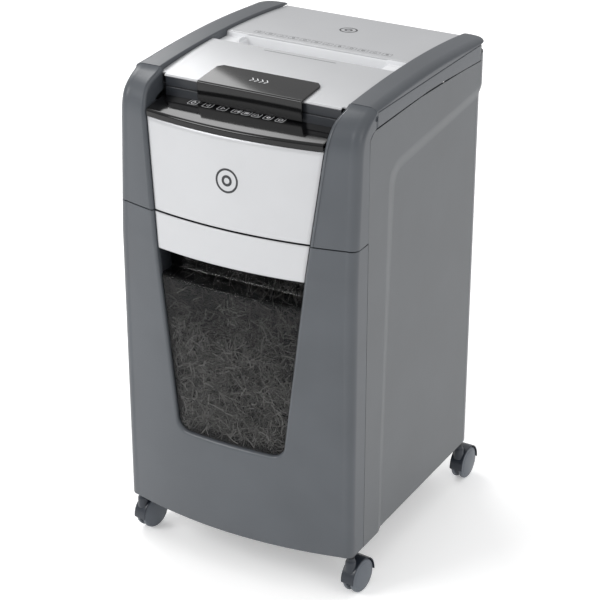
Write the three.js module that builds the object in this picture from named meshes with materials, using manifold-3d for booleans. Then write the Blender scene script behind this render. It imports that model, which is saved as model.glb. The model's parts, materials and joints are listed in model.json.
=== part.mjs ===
// A free-standing auto-feed paper shredder on four castors, in millimetres, +Z up, front facing -Y.
// The origin is under the middle of the machine, on the floor.
import * as THREE from "three";
import { mergeVertices } from "three/addons/utils/BufferGeometryUtils.js";
import Module from "manifold-3d";

const wasm = await Module();
wasm.setup();

// ---- driving dimensions -------------------------------------------------------------------------
const HALF_W = 200; // half the cabinet width
const FRONT = -218; // plane of the front corners
const REAR = 218; // back of the cabinet
const SEAM_Y = -176; // upright seam between the front mouldings and the side panels
const BOW = 24.5; // how far the front bulges beyond its corners
const BOW_HALF = 185; // half width over which it bulges
const CORNER = 14; // front corner radius in plan
const BACK_CORNER = 30; // rear corner radius in plan
const Z_SKIRT = 77; // lower edge of the outer skins
const Z_PART = 586; // parting line between bin and head
const GAP = 0.3; // running gap between neighbours
const SKIN = 3; // wall thickness of the mouldings
const RECESS = 5; // depth of the recess in each side, which runs out at the back and the bottom
const SILVER_SET = 4; // silver trim sits this far behind the grey mouldings
const Z_RIM = 776; // where the lid rests on the head
const Z_CROWN = 791; // highest point of the lid rails
const Z_SILVER = 786; // highest point of the silver lid
const RAIL_IN = 157.5; // inner edge of the lid rails
const SLOT = { half: 114, y0: 8, y1: 28 }; // hand-feed throat
const CUT = { y: 20, z: 650, spread: 38, tip: 21, root: 15, pitch: 20, disc: 8.6, count: 11 };
const MODULE = 2; // gear module
const LID_HINGE = { y: 204, z: 764 };
const CASTOR = { r: 27.5, trail: 20, xFront: 190, xRear: 187.9, yFront: -198, yRear: 190.9 };

// ---- materials, one per slot --------------------------------------------------------------------
const paint = (color, roughness, metalness) => ({ color, roughness, metalness });
const SLOTS = {
  grey: paint(0x6b6c70, 0.55, 0),
  grey_side: paint(0x727476, 0.55, 0),
  silver: paint(0xd8dadc, 0.35, 0.2),
  gloss_black: paint(0x17181a, 0.12, 0),
  dark: paint(0x26282b, 0.6, 0),
  smoked: paint(0x2a2d2e, 0.1, 0),
  white: paint(0xe8e9e8, 0.45, 0),
  steel: paint(0x9a9da0, 0.3, 1),
  zinc: paint(0xb4b7b8, 0.45, 1),
  nylon: paint(0xcfcbbb, 0.5, 0),
  rubber: paint(0x1c1c1d, 0.85, 0),
  board: paint(0x1f5a35, 0.5, 0),
  castor_hood: paint(0x2c3540, 0.45, 0),
  castor_disc: paint(0x7c8187, 0.5, 0),
};

// ---- solids -------------------------------------------------------------------------------------
function solid(geometry) {
  const bare = (geometry.index ? geometry.toNonIndexed() : geometry).clone();
  bare.deleteAttribute("normal");
  bare.deleteAttribute("uv");
  const merged = mergeVertices(bare, 1e-3);
  const triVerts = new Uint32Array(merged.index.array);
  const mesh = new wasm.Mesh({
    numProp: 3,
    vertProperties: merged.attributes.position.array,
    triVerts,
  });
  return new wasm.Manifold(mesh);
}

function geometryOf(body) {
  const mesh = body.getMesh();
  const out = new THREE.BufferGeometry();
  out.setAttribute("position", new THREE.BufferAttribute(mesh.vertProperties, 3));
  out.setIndex(new THREE.BufferAttribute(mesh.triVerts, 1));
  out.computeVertexNormals();
  return out;
}

const join = (first, ...rest) => rest.reduce((a, b) => a.add(b), first);
const cut = (first, ...rest) => rest.reduce((a, b) => a.subtract(b), first);
const span = (a, b, n) => Array.from({ length: n + 1 }, (_, i) => a + ((b - a) * i) / n);
const mirrored = (body) => body.mirror([1, 0, 0]);

function box(x0, x1, y0, y1, z0, z1) {
  const g = new THREE.BoxGeometry(x1 - x0, y1 - y0, z1 - z0);
  return solid(g.translate((x0 + x1) / 2, (y0 + y1) / 2, (z0 + z1) / 2));
}
// The same box on the left and on the right.
const bothBoxes = (x0, x1, ...rest) => [box(-x1, -x0, ...rest), box(x0, x1, ...rest)];

// A profile drawn in one plane and carried straight along the third axis.
function prism(points, from, to, basis) {
  const outline = new THREE.Shape(points.map(([a, b]) => new THREE.Vector2(a, b)));
  const g = new THREE.ExtrudeGeometry(outline, { depth: to - from, bevelEnabled: false });
  return solid(g.applyMatrix4(basis));
}
const turned = (...rows) => new THREE.Matrix4().set(...rows.flat(), 0, 0, 0, 1);
const alongX = (yz, x0, x1) => prism(yz, x0, x1, turned([0, 0, 1, x0], [1, 0, 0, 0], [0, 1, 0, 0]));
const alongY = (xz, y0, y1) => prism(xz, y0, y1, turned([1, 0, 0, 0], [0, 0, -1, y1], [0, 1, 0, 0]));
const alongZ = (xy, z0, z1) => prism(xy, z0, z1, new THREE.Matrix4().makeTranslation(0, 0, z0));

// A round bar along X, centred on (y, z).
function barX(r, x0, x1, y, z, sides = 16) {
  const g = new THREE.CylinderGeometry(r, r, x1 - x0, sides).rotateZ(-Math.PI / 2);
  return solid(g.translate((x0 + x1) / 2, y, z));
}
// A round bar along Z, centred on (x, y).
function barZ(r, z0, z1, x, y, sides = 16) {
  const g = new THREE.CylinderGeometry(r, r, z1 - z0, sides).rotateX(Math.PI / 2);
  return solid(g.translate(x, y, (z0 + z1) / 2));
}
// A turned part about an X axis through (y, z): profile of [radius, x] from axis to axis.
function turnedX(profile, y, z, sides) {
  const points = profile.map(([r, x]) => new THREE.Vector2(r, x));
  const g = new THREE.LatheGeometry(points, sides).rotateZ(-Math.PI / 2);
  return solid(g.translate(0, y, z));
}

// Rings of the same length joined in order and closed at both ends; the ends are cut up in (u, v).
function loft(rings, u, v) {
  const n = rings[0].length;
  const position = new Float32Array(rings.flat(2));
  const tris = [];
  for (let k = 0; k + 1 < rings.length; k++) {
    for (let i = 0; i < n; i++) {
      const a = k * n + i;
      const b = k * n + ((i + 1) % n);
      tris.push(a, b, b + n, a, b + n, a + n);
    }
  }
  const cap = (ring) => {
    const flat = ring.map((p) => new THREE.Vector2(p[u], p[v]));
    const faces = THREE.ShapeUtils.triangulateShape(flat, []);
    return THREE.ShapeUtils.area(flat) > 0 ? faces : faces.map(([a, b, c]) => [a, c, b]);
  };
  const last = (rings.length - 1) * n;
  for (const [a, b, c] of cap(rings[0])) tris.push(a, c, b);
  for (const [a, b, c] of cap(rings.at(-1))) tris.push(last + a, last + b, last + c);
  const g = new THREE.BufferGeometry();
  g.setAttribute("position", new THREE.BufferAttribute(position, 3));
  g.setIndex(tris);
  const made = solid(g);
  if (made.volume() > 0) return made;
  g.setIndex(tris.map((_, i) => tris[i - (i % 3) + [0, 2, 1][i % 3]]));
  return solid(g);
}

// ---- the curved front ---------------------------------------------------------------------------
// How far the front leans back at height z: upright to the hand grip, then a steady lean.
const lean = (z) => Math.max(0, 3.5 + 0.0557 * (z - 528) - SILVER_SET);
// y of the grey front skin at (x, z), set back by d.
function frontY(x, z, d = 0) {
  const a = Math.abs(x);
  const bulge = BOW * Math.max(0, 1 - (a / BOW_HALF) ** 2);
  const into = Math.min(a, HALF_W - d) - (HALF_W - CORNER);
  const r = CORNER - d;
  const round = into > 0 ? CORNER - d - Math.sqrt(Math.max(0, r * r - into * into)) : 0;
  return FRONT + lean(z) - bulge + round + d;
}
// Half width of the silver trim and the window, a steady taper from the head down.
const trimHalf = (z) => 147 - 0.1128 * (727 - z);
const FRONT_XS = [0, 40, 80, 115, 145, 168, 186, 190, 194, 197.5];

// Plan ring of a skin of thickness t between the two seams, set back by d at height z.
function frontRing(z, d, t) {
  const half = (set) => {
    const side = HALF_W - set;
    const xs = FRONT_XS.filter((x) => x < side - 1).concat(side);
    while (xs.length < FRONT_XS.length + 1) xs.splice(xs.length - 1, 0, side - 0.5);
    return xs.map((x) => [x, frontY(x, z, set), z]).concat([[side, SEAM_Y - GAP, z]]);
  };
  const whole = (list) => list.slice(1).reverse().map(([x, y, h]) => [-x, y, h]).concat(list);
  return whole(half(d)).concat(whole(half(d + t)).reverse());
}

// A curved panel of the trim family: tapering half width, thickness t, set back by d.
function trimPanel(z0, z1, d, t, inset, steps = 2) {
  const rings = span(z0, z1, steps).map((z) => {
    const w = trimHalf(z) - inset;
    const xs = span(-w, w, 12);
    const outer = xs.map((x) => [x, frontY(x, z, 0) + d, z]);
    const inner = xs.map((x) => [x, frontY(x, z, 0) + d + t, z]).reverse();
    return outer.concat(inner);
  });
  return loft(rings, 0, 1);
}

// The tapering opening in the front frame, rounded at its lower corners.
function trimOpening(z0, z1, inset, radius) {
  const low = trimHalf(z0 + radius) + inset;
  const arc = span(0, Math.PI / 2, 5).map((t) => [
    low - radius + radius * Math.sin(t),
    z0 + radius - radius * Math.cos(t),
  ]);
  const right = arc.concat([[trimHalf(z1) + inset, z1]]);
  const left = right.map(([x, z]) => [-x, z]).reverse();
  return alongY(right.concat(left), FRONT - 60, FRONT + 60);
}

// ---- the machine --------------------------------------------------------------------------------
const machine = new THREE.Group();
machine.name = "paper_shredder";
function add(name, slot, body) {
  const mesh = new THREE.Mesh(geometryOf(body), new THREE.MeshStandardMaterial(SLOTS[slot]));
  mesh.name = name;
  machine.add(mesh);
}

// ---- base and side panels -----------------------------------------------------------------------
const castorStems = [
  ["front_left", -CASTOR.xFront, CASTOR.yFront, 10],
  ["front_right", CASTOR.xFront, CASTOR.yFront, 6],
  ["rear_left", -CASTOR.xRear, CASTOR.yRear, -8.6],
  ["rear_right", CASTOR.xRear, CASTOR.yRear, 1],
];
const basePlan = [
  [180, -208],
  [191, -196],
  [191, 192],
  [177, 209],
  [-177, 209],
  [-191, 192],
  [-191, -196],
  [-180, -208],
];
const bosses = castorStems.map(([, x, y]) => barZ(5.8, 69, 82, x, y, 12));
const sockets = castorStems.map(([, x, y]) => barZ(4.5, 60, 79, x, y, 12));
add("base_tray", "dark", cut(join(alongZ(basePlan, 80, 86), ...bosses), ...sockets));

// Upper edge of the side panels, from the seam to the rear corner.
const SIDE_TOP = [
  [SEAM_Y, 740],
  [-171, 746],
  [-159, 753],
  [-117, 754],
  [10, 757],
  [112, 753],
  [REAR - BACK_CORNER - GAP, 750],
];
const RECESS_OUT = [
  [-128.5, 60],
  [-127, 242],
  [-122, 359],
  [-117, 647],
  [-114, 670],
  [-92, 686],
  [-18, 693],
  [117, 703],
  [200, 711],
  [200, 60],
];
const RECESS_IN = [
  [-109, 60],
  [-105, 242],
  [-101, 359],
  [-87, 647],
  [-77, 660],
  [-61, 665],
  [-3, 669],
  [133, 682],
  [200, 690],
  [200, 60],
];
function sidePanel() {
  const back = REAR - BACK_CORNER - GAP;
  const outline = [[SEAM_Y, Z_SKIRT], ...SIDE_TOP, [back, Z_SKIRT]];
  const sheet = alongX(outline, HALF_W - 6, HALF_W);
  const floor = HALF_W - RECESS - 3.2;
  const dish = alongX(RECESS_OUT, floor, HALF_W - 5.5).intersect(box(0, 210, -200, 180, Z_SKIRT, 720));
  const ring = (list, x) => list.map(([y, z]) => [x, y, z]);
  const pocket = loft([ring(RECESS_OUT, HALF_W + 0.8), ring(RECESS_IN, HALF_W - RECESS)], 1, 2);
  return cut(join(sheet, dish), pocket);
}
add("side_right", "grey_side", sidePanel());
add("side_left", "grey_side", mirrored(sidePanel()));

// ---- rear panel: wraps both rear corners, with vents, inlet and switch openings ------------------
const INLET = { x: 128, z: 640, w: 30, h: 24 };
const SWITCH = { x: 78, z: 640, w: 22, h: 15 };
const FLANGE = 3; // the flange of each is set in flush with the back
function backRing(recess, set) {
  const [side, y] = [HALF_W - recess - set, REAR - BACK_CORNER];
  const c = HALF_W - BACK_CORNER;
  const arc = span(0, Math.PI / 2, 5).map((t) => [
    c + (side - c) * Math.cos(t),
    y + (BACK_CORNER - set) * Math.sin(t),
  ]);
  const left = arc.map(([x, v]) => [-x, v]).reverse();
  return [[side, y], ...arc.slice(1), ...left.slice(0, -1), [-side, y]];
}
function socketBlock(o, grow, y0, y1) {
  const [w, h] = [o.w / 2 + grow, o.h / 2 + grow];
  return box(o.x - w, o.x + w, y0, y1, o.z - h, o.z + h);
}
const opening = (o) => join(
  socketBlock(o, GAP, 190, 230),
  socketBlock(o, FLANGE + GAP, REAR - 2, 230),
);
const rearSteps = [[Z_SKIRT, RECESS], [694, RECESS], [710, 0], [762, 0]];
const rearRings = rearSteps.map(([z, recess]) =>
  [...backRing(recess, 0), ...backRing(recess, SKIN).reverse()].map(([x, y]) => [x, y, z]),
);
const stemRoom = barZ(6.1, 60, 82.3, CASTOR.xRear, CASTOR.yRear, 16);
const rearShell = cut(loft(rearRings, 0, 1), stemRoom, mirrored(stemRoom));
const vents = [-130, -60, 10, 80]
  .flatMap((x) => span(690, 720, 3).map((z) => [x, z]))
  .map(([x, z]) => box(x, x + 50, 190, 230, z, z + 4.5));
const lidRoom = box(-158, 158, 205, 230, 757.2, 770); // the lid's rear edge dips here as it opens
add("rear_panel", "grey", cut(rearShell, opening(INLET), opening(SWITCH), lidRoom, ...vents));

// ---- head: arms, silver front, control panel, recess --------------------------------------------
// One shoulder profile at x, from the lower edge round the front and over the top to the lid seam.
const SHOULDER = [
  [0, 726],
  [2, 741],
  [7, 754],
  [15, 764],
  [28, 771],
  [44, 777],
];
const ARM_BACK = -157;
function armRing(x, d, back) {
  const at = Math.min(x, HALF_W - d);
  const inner = x < 150 + d;
  const xAt = (z) => (inner ? trimHalf(z) + 0.6 + d : at);
  const low = Z_PART + 1 + d;
  const drop = 6 * Math.max(0, (at - 186) / 14) ** 2;
  const foot = [[xAt(low), frontY(at, low, d), low], [xAt(666), frontY(at, 666, d), 666]];
  const start = frontY(at, 726, d);
  const crest = SHOULDER.map(([dy, z]) => [Math.min(start + dy, ARM_BACK - 4), z - (dy > 12 ? drop : 0)]);
  const over = crest.map(([y, z]) => [xAt(z), y, z - d]);
  const end = [783 - d - drop, low].map((z) => [xAt(z), ARM_BACK + back, z]);
  return [...foot, ...over, ...end];
}
const ARM_XS = [140, 160, 175, 186, 190, 194, 197.5, 200];
const armBlock = (d, back) => loft(ARM_XS.map((x) => armRing(x, d, back)), 1, 2);
function headArm() {
  const rimLow = SIDE_TOP.slice(1).map(([y, z]) => [y, z + GAP]);
  const rim = alongX([...rimLow, [REAR - BACK_CORNER - GAP, Z_RIM], [-171, Z_RIM]], HALF_W - 6, HALF_W);
  const seam = [[SEAM_Y, 560], [SEAM_Y, 740 + GAP], ...rimLow.slice(0, 3), [-100, 754], [-100, 560]];
  const seamCut = alongX(seam, 190, 210);
  const lidCut = box(RAIL_IN - 2, 210, ARM_BACK - 0.1, 0, Z_RIM, 800);
  return cut(join(cut(armBlock(0, 0), armBlock(SKIN, 2)), rim), seamCut, lidCut);
}
add("head_arm_right", "grey", headArm());
add("head_arm_left", "grey", mirrored(headArm()));
add("head_front", "silver", trimPanel(Z_PART + 1, 727, SILVER_SET, SKIN, 0.4, 2));

// Glossy panel: a thin front band and a top that rises towards the recess wall.
const PANEL_BACK = -161.5;
function controlPanel() {
  const xs = span(-146, 146, 12);
  const at = (z, d) => xs.map((x) => [x, frontY(x, 727, 0) + SILVER_SET + d, z]);
  const shell = (d, drop) => {
    const front = at(727.6 - drop, d);
    const edge = at(738 - (drop ? SKIN : 0), d);
    const back = xs.map((x) => [x, PANEL_BACK, 744 - (drop ? SKIN : 0)]);
    const under = xs.map((x) => [x, PANEL_BACK, 727.6 - drop]);
    return loft(xs.map((_, i) => [front[i], edge[i], back[i], under[i]]), 1, 2);
  };
  return cut(shell(0, 0), shell(SKIN, 6));
}
add("control_panel", "gloss_black", controlPanel());
add("control_board", "board", box(-105, 105, -196, -168, 728.5, 730.5));
const recessWall = [box(-142, 142, -161, -158, 690, 728), box(-146, 146, -161, -158, 727.5, 757)];
add("recess_wall", "dark", join(...recessWall, box(-146, 146, -158.5, -152, 754, 757)));

// ---- feed tray inside the head -----------------------------------------------------------------
const ROLLER = { y: -38, z: 693.9, r: 24 };
const rollerXs = [-70, 0, 70];
const TRAY_Z = 716;
const rollerWindows = rollerXs.map((x) => box(x - 17, x + 17, ROLLER.y - 16, ROLLER.y + 16, 700, 730));
const trayWalls = [-122, 119].map((x) => box(x, x + 3, -151, 160, TRAY_Z - 1, 735));
const trayPlate = box(-150, 150, -151, 160, TRAY_Z - SKIN, TRAY_Z);
const trayEnd = box(-122, 122, 157, 160, TRAY_Z - 1, 735);
const traySlot = box(-SLOT.half, SLOT.half, SLOT.y0 + 2, SLOT.y1 + 4, 700, 730);
add("feed_tray", "dark", cut(join(trayPlate, ...trayWalls, trayEnd), traySlot, ...rollerWindows));

// ---- deck that carries the works, open under the cutters ----------------------------------------
const deckPlan = [
  [188, -156],
  [188, 190],
  [165, 212],
  [-165, 212],
  [-188, 190],
  [-188, -156],
];
add("head_deck", "dark", cut(alongZ(deckPlan, 590, 594), box(-118, 118, -14, 54, 580, 600)));

// ---- cutters -------------------------------------------------------------------------------------
const yFrontCut = CUT.y - CUT.spread / 2;
const yRearCut = CUT.y + CUT.spread / 2;
const PLATE_X = 124;
function gear(teeth, x0, x1, y, z, phase) {
  const r = (teeth * MODULE) / 2;
  const step = (2 * Math.PI) / teeth;
  const corners = [
    [r - 1.2 * MODULE, -0.27],
    [r + 0.8 * MODULE, -0.1],
    [r + 0.8 * MODULE, 0.1],
    [r - 1.2 * MODULE, 0.27],
  ];
  const points = Array.from({ length: teeth }, (_, i) =>
    corners.map(([rr, part]) => {
      const t = phase + (i + part) * step;
      return [y + rr * Math.cos(t), z + rr * Math.sin(t)];
    }),
  ).flat();
  return alongX(points, x0, x1);
}
// Phase of a gear that meshes with one of n1 teeth at phase p1, seen along direction a from it.
function meshed(n1, p1, a, n2) {
  const step = (2 * Math.PI) / n1;
  const u = (((a - p1) / step) % 1 + 1) % 1;
  return a + Math.PI + ((u + 0.5) * 2 * Math.PI) / n2;
}
// A drum of discs with its journals; the discs of one drum run between those of the other.
function drum(y, shift, leftEnd, rightEnd) {
  const profile = [[0, leftEnd], [7, leftEnd], [7, -PLATE_X + 1], [CUT.root, -PLATE_X + 1]];
  for (let i = 0; i < CUT.count; i++) {
    const c = (i - (CUT.count - 1) / 2) * CUT.pitch + shift;
    const a = c - CUT.disc / 2;
    const b = c + CUT.disc / 2;
    profile.push([CUT.root, a], [CUT.tip, a], [CUT.tip, b], [CUT.root, b]);
  }
  profile.push([CUT.root, PLATE_X - 1], [7, PLATE_X - 1], [7, rightEnd], [0, rightEnd]);
  return turnedX(profile, y, CUT.z, 14);
}
const T = { cut: 19, bull: 40, pinion: 12, feed: 14, roller: 12 };
const idler = { y: yRearCut + T.bull + T.pinion, z: CUT.z };
const motor = { y: idler.y + T.bull + T.pinion, z: CUT.z };
const feedIdler = { y: yFrontCut - 24, z: CUT.z + 22.65 };
const angle = (a, b) => Math.atan2(b.z - a.z, b.y - a.y);
const rearAxis = { y: yRearCut, z: CUT.z };
const frontAxis = { y: yFrontCut, z: CUT.z };
const phaseFront = meshed(T.cut, 0, angle(rearAxis, frontAxis), T.cut);
const phaseIdlerPinion = meshed(T.bull, 0, 0, T.pinion);
const phaseMotor = meshed(T.bull, 0, 0, T.pinion);
const phaseFeedIdler = meshed(T.cut, phaseFront, angle(frontAxis, feedIdler), T.feed);
const phaseRoller = meshed(T.feed, phaseFeedIdler, angle(feedIdler, ROLLER), T.roller);

const rearDrum = join(
  drum(yRearCut, 5, -149, 132),
  gear(T.cut, -138, -131, yRearCut, CUT.z, 0),
  gear(T.bull, -148, -141, yRearCut, CUT.z, 0),
);
const frontGear = gear(T.cut, -138, -131, yFrontCut, CUT.z, phaseFront);
const frontDrum = join(drum(yFrontCut, -5, -139, 132), frontGear);
add("rear_cutter", "steel", rearDrum);
add("front_cutter", "steel", frontDrum);

const idlerBody = join(
  gear(T.pinion, -148, -140.5, idler.y, idler.z, phaseIdlerPinion),
  gear(T.bull, -158, -151, idler.y, idler.z, 0),
  barX(7, -159, -140, idler.y, idler.z),
);
add("idler_gear", "nylon", cut(idlerBody, barX(5.4, -170, -120, idler.y, idler.z)));
const feedGear = gear(T.feed, -138, -131, feedIdler.y, feedIdler.z, phaseFeedIdler);
add("feed_idler", "nylon", cut(feedGear, barX(4.4, -150, -120, feedIdler.y, feedIdler.z)));

const rollerShaft = barX(4, -139, 132, ROLLER.y, ROLLER.z, 12);
const rollerGear = gear(T.roller, -138, -131, ROLLER.y, ROLLER.z, phaseRoller);
const tyres = rollerXs.map((x) => barX(ROLLER.r, x - 13, x + 13, ROLLER.y, ROLLER.z, 24));
add("feed_roller", "rubber", join(rollerShaft, rollerGear, ...tyres));

// Steel cheeks that hold both drums, the feed roller and the tie rods.
const TIES = [
  ["tie_rod_front", -32, 612],
  ["tie_rod_rear", 72, 612],
];
function cheek(x0, x1) {
  const outline = [
    [-60, 596],
    [104, 596],
    [104, 664],
    [60, 704],
    [-60, 711],
  ];
  const holes = [
    [7.4, yRearCut, CUT.z],
    [7.4, yFrontCut, CUT.z],
    [4.4, ROLLER.y, ROLLER.z],
    ...TIES.map(([, y, z]) => [4.4, y, z]),
  ];
  return cut(alongX(outline, x0, x1), ...holes.map(([r, y, z]) => barX(r, x0 - 5, x1 + 5, y, z, 20)));
}
const pins = join(barX(5, -160, -125, idler.y, idler.z), barX(4, -139.5, -125, feedIdler.y, feedIdler.z));
add("cutter_plate_left", "zinc", join(cheek(-PLATE_X - 5, -PLATE_X), pins));
add("cutter_plate_right", "zinc", cheek(PLATE_X, PLATE_X + 5));
for (const [name, y, z] of TIES) add(name, "zinc", barX(4, -PLATE_X - 8, PLATE_X + 8, y, z, 12));

// Combs whose fingers reach between the discs and strip the cuttings off.
function comb(side, shift) {
  const yAxis = side < 0 ? yFrontCut : yRearCut;
  const back = yAxis + side * (CUT.tip + 9);
  const face = yAxis + side * (CUT.tip + 2);
  const tip = yAxis + side * (CUT.root + 1.2);
  const points = [[-120, back], [-120, face]];
  for (let i = 0; i < CUT.count - 1; i++) {
    const c = (i - (CUT.count - 2) / 2) * CUT.pitch + shift;
    points.push([c - 4, face], [c - 4, tip], [c + 4, tip], [c + 4, face]);
  }
  points.push([120, face], [120, back]);
  return alongZ(side < 0 ? points : points.reverse(), CUT.z - 5, CUT.z + 5);
}
add("stripper_front", "zinc", comb(-1, -5));
add("stripper_rear", "zinc", comb(1, 5));

// ---- motor --------------------------------------------------------------------------------------
const can = [[0, -118], [20, -118], [20, -108], [43, -104], [43, 20], [20, 24], [20, 30], [0, 30]];
add("motor_can", "zinc", cut(turnedX(can, motor.y, motor.z, 28), barX(5.6, -130, 50, motor.y, motor.z)));
const saddle = [
  [motor.y - 50, 594.3],
  [motor.y + 50, 594.3],
  [motor.y + 50, 602],
  [motor.y + 26, 602],
  [motor.y + 36, 622],
  [motor.y - 36, 622],
  [motor.y - 26, 602],
  [motor.y - 50, 602],
];
add("motor_saddle", "zinc", cut(alongX(saddle, -90, 6), barX(43.4, -100, 20, motor.y, motor.z, 28)));
const fan = join(
  barX(12, 34, 44, motor.y, motor.z),
  ...span(0, Math.PI * 0.75, 3).map((t) => {
    const blade = new THREE.BoxGeometry(8, 64, 2.4).rotateX(t);
    return solid(blade.translate(39, motor.y, motor.z));
  }),
);
const motorPinion = gear(T.pinion, -158, -151, motor.y, motor.z, phaseMotor);
add("motor_rotor", "steel", join(barX(5, -159, 44, motor.y, motor.z), motorPinion, fan));

// ---- power inlet, rocker switch and the two interlocks ------------------------------------------
const flange = (o) => socketBlock(o, FLANGE, REAR - 1.7, REAR - 0.1);
const inletBody = join(socketBlock(INLET, -0.2, 196, REAR - 0.5), flange(INLET));
const inletHole = box(INLET.x - 12, INLET.x + 12, REAR - 16, REAR + 5, INLET.z - 8.5, INLET.z + 8.5);
const blades = [-7, 0, 7]
  .map((dx) => INLET.x + dx)
  .map((x) => box(x - 1, x + 1, REAR - 17, REAR - 3, INLET.z - 3, INLET.z + 3));
add("power_inlet", "dark", join(cut(inletBody, inletHole), ...blades));

const bezelOuter = join(socketBlock(SWITCH, -0.2, 202, REAR - 0.5), flange(SWITCH));
const bezelHole = box(SWITCH.x - 9.6, SWITCH.x + 9.6, 204, REAR + 5, SWITCH.z - 5.6, SWITCH.z + 5.6);
add("switch_bezel", "dark", cut(bezelOuter, bezelHole));
const rockerShape = [
  [SWITCH.x - 8, REAR - 10],
  [SWITCH.x + 8, REAR - 10],
  [SWITCH.x + 8, REAR - 2.4],
  [SWITCH.x, REAR - 3.8],
  [SWITCH.x - 8, REAR - 0.2],
];
add("power_rocker", "gloss_black", alongZ(rockerShape, SWITCH.z - 5, SWITCH.z + 5));
add("lid_interlock", "dark", box(160, 172, 168, 182, 730, 750));
add("bin_interlock", "dark", box(150, 168, -150, -132, 570, 589.7));

// ---- lid ----------------------------------------------------------------------------------------
const railTop = (y) => Z_CROWN - (y < 20 ? 2.17e-4 : 2.8e-4) * (y - 20) ** 2;
const silverTop = (y) => Z_SILVER - (y < 15 ? 3.3e-4 : 2.7e-4) * (y - 15) ** 2;
const arch = (top, y0, y1, n, d = 0) => span(y0, y1, n).map((y) => [y, top(y) - d]);
const strip = (top, y0, y1, n, t) => [...arch(top, y0, y1, n), ...arch(top, y0, y1, n, t).reverse()];
const LID_FRONT = ARM_BACK + 0.6;

// A rail: arched top, rounded outer edge, hollow from below, rounded rear corner in plan.
function lidRail() {
  const xs = [RAIL_IN, 186, 192, 196.5, 199, 200];
  const drops = [0, 0, 1, 3, 5.5, 9];
  const ring = (x, drop, d) => {
    const round = Math.sqrt(BACK_CORNER ** 2 - Math.max(0, x - HALF_W + BACK_CORNER) ** 2);
    const tail = REAR - BACK_CORNER + round - d;
    const low = Z_RIM + GAP - (d ? 5 : 0);
    const height = (y) => Math.max(railTop(y) - drop - d, low + 0.6);
    const top = span(LID_FRONT + d, tail - 0.5, 10).map((y) => [x, y, height(y)]);
    return [[x, LID_FRONT + d, low], ...top, [x, tail, low]];
  };
  const outer = loft(xs.map((x, i) => ring(x, drops[i], 0)), 1, 2);
  const inXs = [RAIL_IN + SKIN, 186, 192, 197];
  const hollow = loft(inXs.map((x, i) => ring(x, drops[i] + (i > 1 ? 1.5 : 0), SKIN)), 1, 2);
  return cut(outer, hollow);
}
add("lid_rail_right", "grey", lidRail());
add("lid_rail_left", "grey", mirrored(lidRail()));

const SILVER_HALF = RAIL_IN - 0.4;
const TROUGH = { y0: -13, y1: 31 };
const frontSheet = alongX(strip(silverTop, -163, TROUGH.y0, 8, 2.5), -SILVER_HALF, SILVER_HALF);
const armClear = bothBoxes(147, 160, -170, LID_FRONT, 760, 800);
add("lid_front_panel", "silver", cut(frontSheet, ...armClear));
const rearSheet = strip(silverTop, TROUGH.y1, REAR - 3, 10, 2.5);
add("lid_rear_panel", "silver", alongX(rearSheet, -SILVER_HALF, SILVER_HALF));

// The hand-feed trough: a channel across the lid with a tapering throat.
const channel = alongX(
  [
    [TROUGH.y0 + 0.4, 783],
    [TROUGH.y0 + 0.4, 775],
    [TROUGH.y0 + 8, 766],
    [TROUGH.y1 - 0.4, 766],
    [TROUGH.y1 - 0.4, 783],
    [TROUGH.y1 - 2.4, 783],
    [TROUGH.y1 - 2.6, 778],
    [TROUGH.y0 + 3, 778],
    [TROUGH.y0 + 2.4, 783],
  ],
  -SILVER_HALF,
  SILVER_HALF,
);
const throat = alongX(
  [
    [SLOT.y0 - 10, 779],
    [SLOT.y0 + 4, 764],
    [SLOT.y1, 764],
    [SLOT.y1, 779],
  ],
  -SLOT.half,
  SLOT.half,
);
add("feed_guide", "white", cut(channel, throat));

// Dark inner frame of the lid, with hinge ears at the back and room for the throat.
const framePlate = box(-156, 156, LID_FRONT, 206, 757.6, 760.6);
const frameWeb = [-156, 153].map((x) => box(x, x + 3, LID_FRONT, 200, 758, 771));
const frameSkirt = join(box(-145, 145, -160.5, -157.5, 758, 772), box(-145, 145, -158, -150, 758, 761));
const frameHole = box(-130, 130, TROUGH.y0, TROUGH.y1, 750, 770);
const troughRoom = box(-160, 160, TROUGH.y0 - 0.5, TROUGH.y1 + 0.5, 762, 775);
const ears = [-150, 138].map((x) => box(x, x + 12, 196, 210, 756, 770));
const hingePin = barX(3, -172, 172, LID_HINGE.y, LID_HINGE.z, 12);
const guideHoles = [-80, 80].map((x) => barZ(3.4, 750, 772, x, -85, 12));
const frameBlank = join(framePlate, ...frameWeb, frameSkirt, ...ears, hingePin);
add("lid_frame", "dark", cut(frameBlank, frameHole, troughRoom, ...guideHoles));

// Brackets on the rear panel that the lid pin turns in.
const bracketBore = (x) => barX(3.4, x - 2, x + 10, LID_HINGE.y, LID_HINGE.z, 16);
const bracket = (x) => cut(box(x, x + 8, 192, 213, 700, 770), bracketBore(x));
add("hinge_bracket_right", "zinc", bracket(160));
add("hinge_bracket_left", "zinc", bracket(-168));

// Glossy handle over the front edge of the lid.
const handleTop = (y) => silverTop(y) + 3.4;
const handleProfile = [
  [-168.5, 745.8],
  [-164.6, 745.8],
  [-164.6, handleTop(-164) - 3],
  ...arch(handleTop, -160, -106, 4, 3),
  ...arch(handleTop, -106, -164, 4),
  [-168.5, handleTop(-164) - 3],
];
const handleBlank = alongX([...handleProfile].reverse(), -88, 88);
const cornerClip = alongZ([[72, -100], [92, -124], [92, -100]], 770, 800);
add("lid_handle", "gloss_black", cut(handleBlank, cornerClip, mirrored(cornerClip)));

// Sprung plate that holds the stack down on the feed rollers.
const plate = box(-104, 104, -142, -20, 738, 741);
const posts = [-80, 80].map((x) => barZ(3, 740, 766, x, -85, 12));
add("pressure_plate", "dark", join(plate, ...posts));

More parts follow.
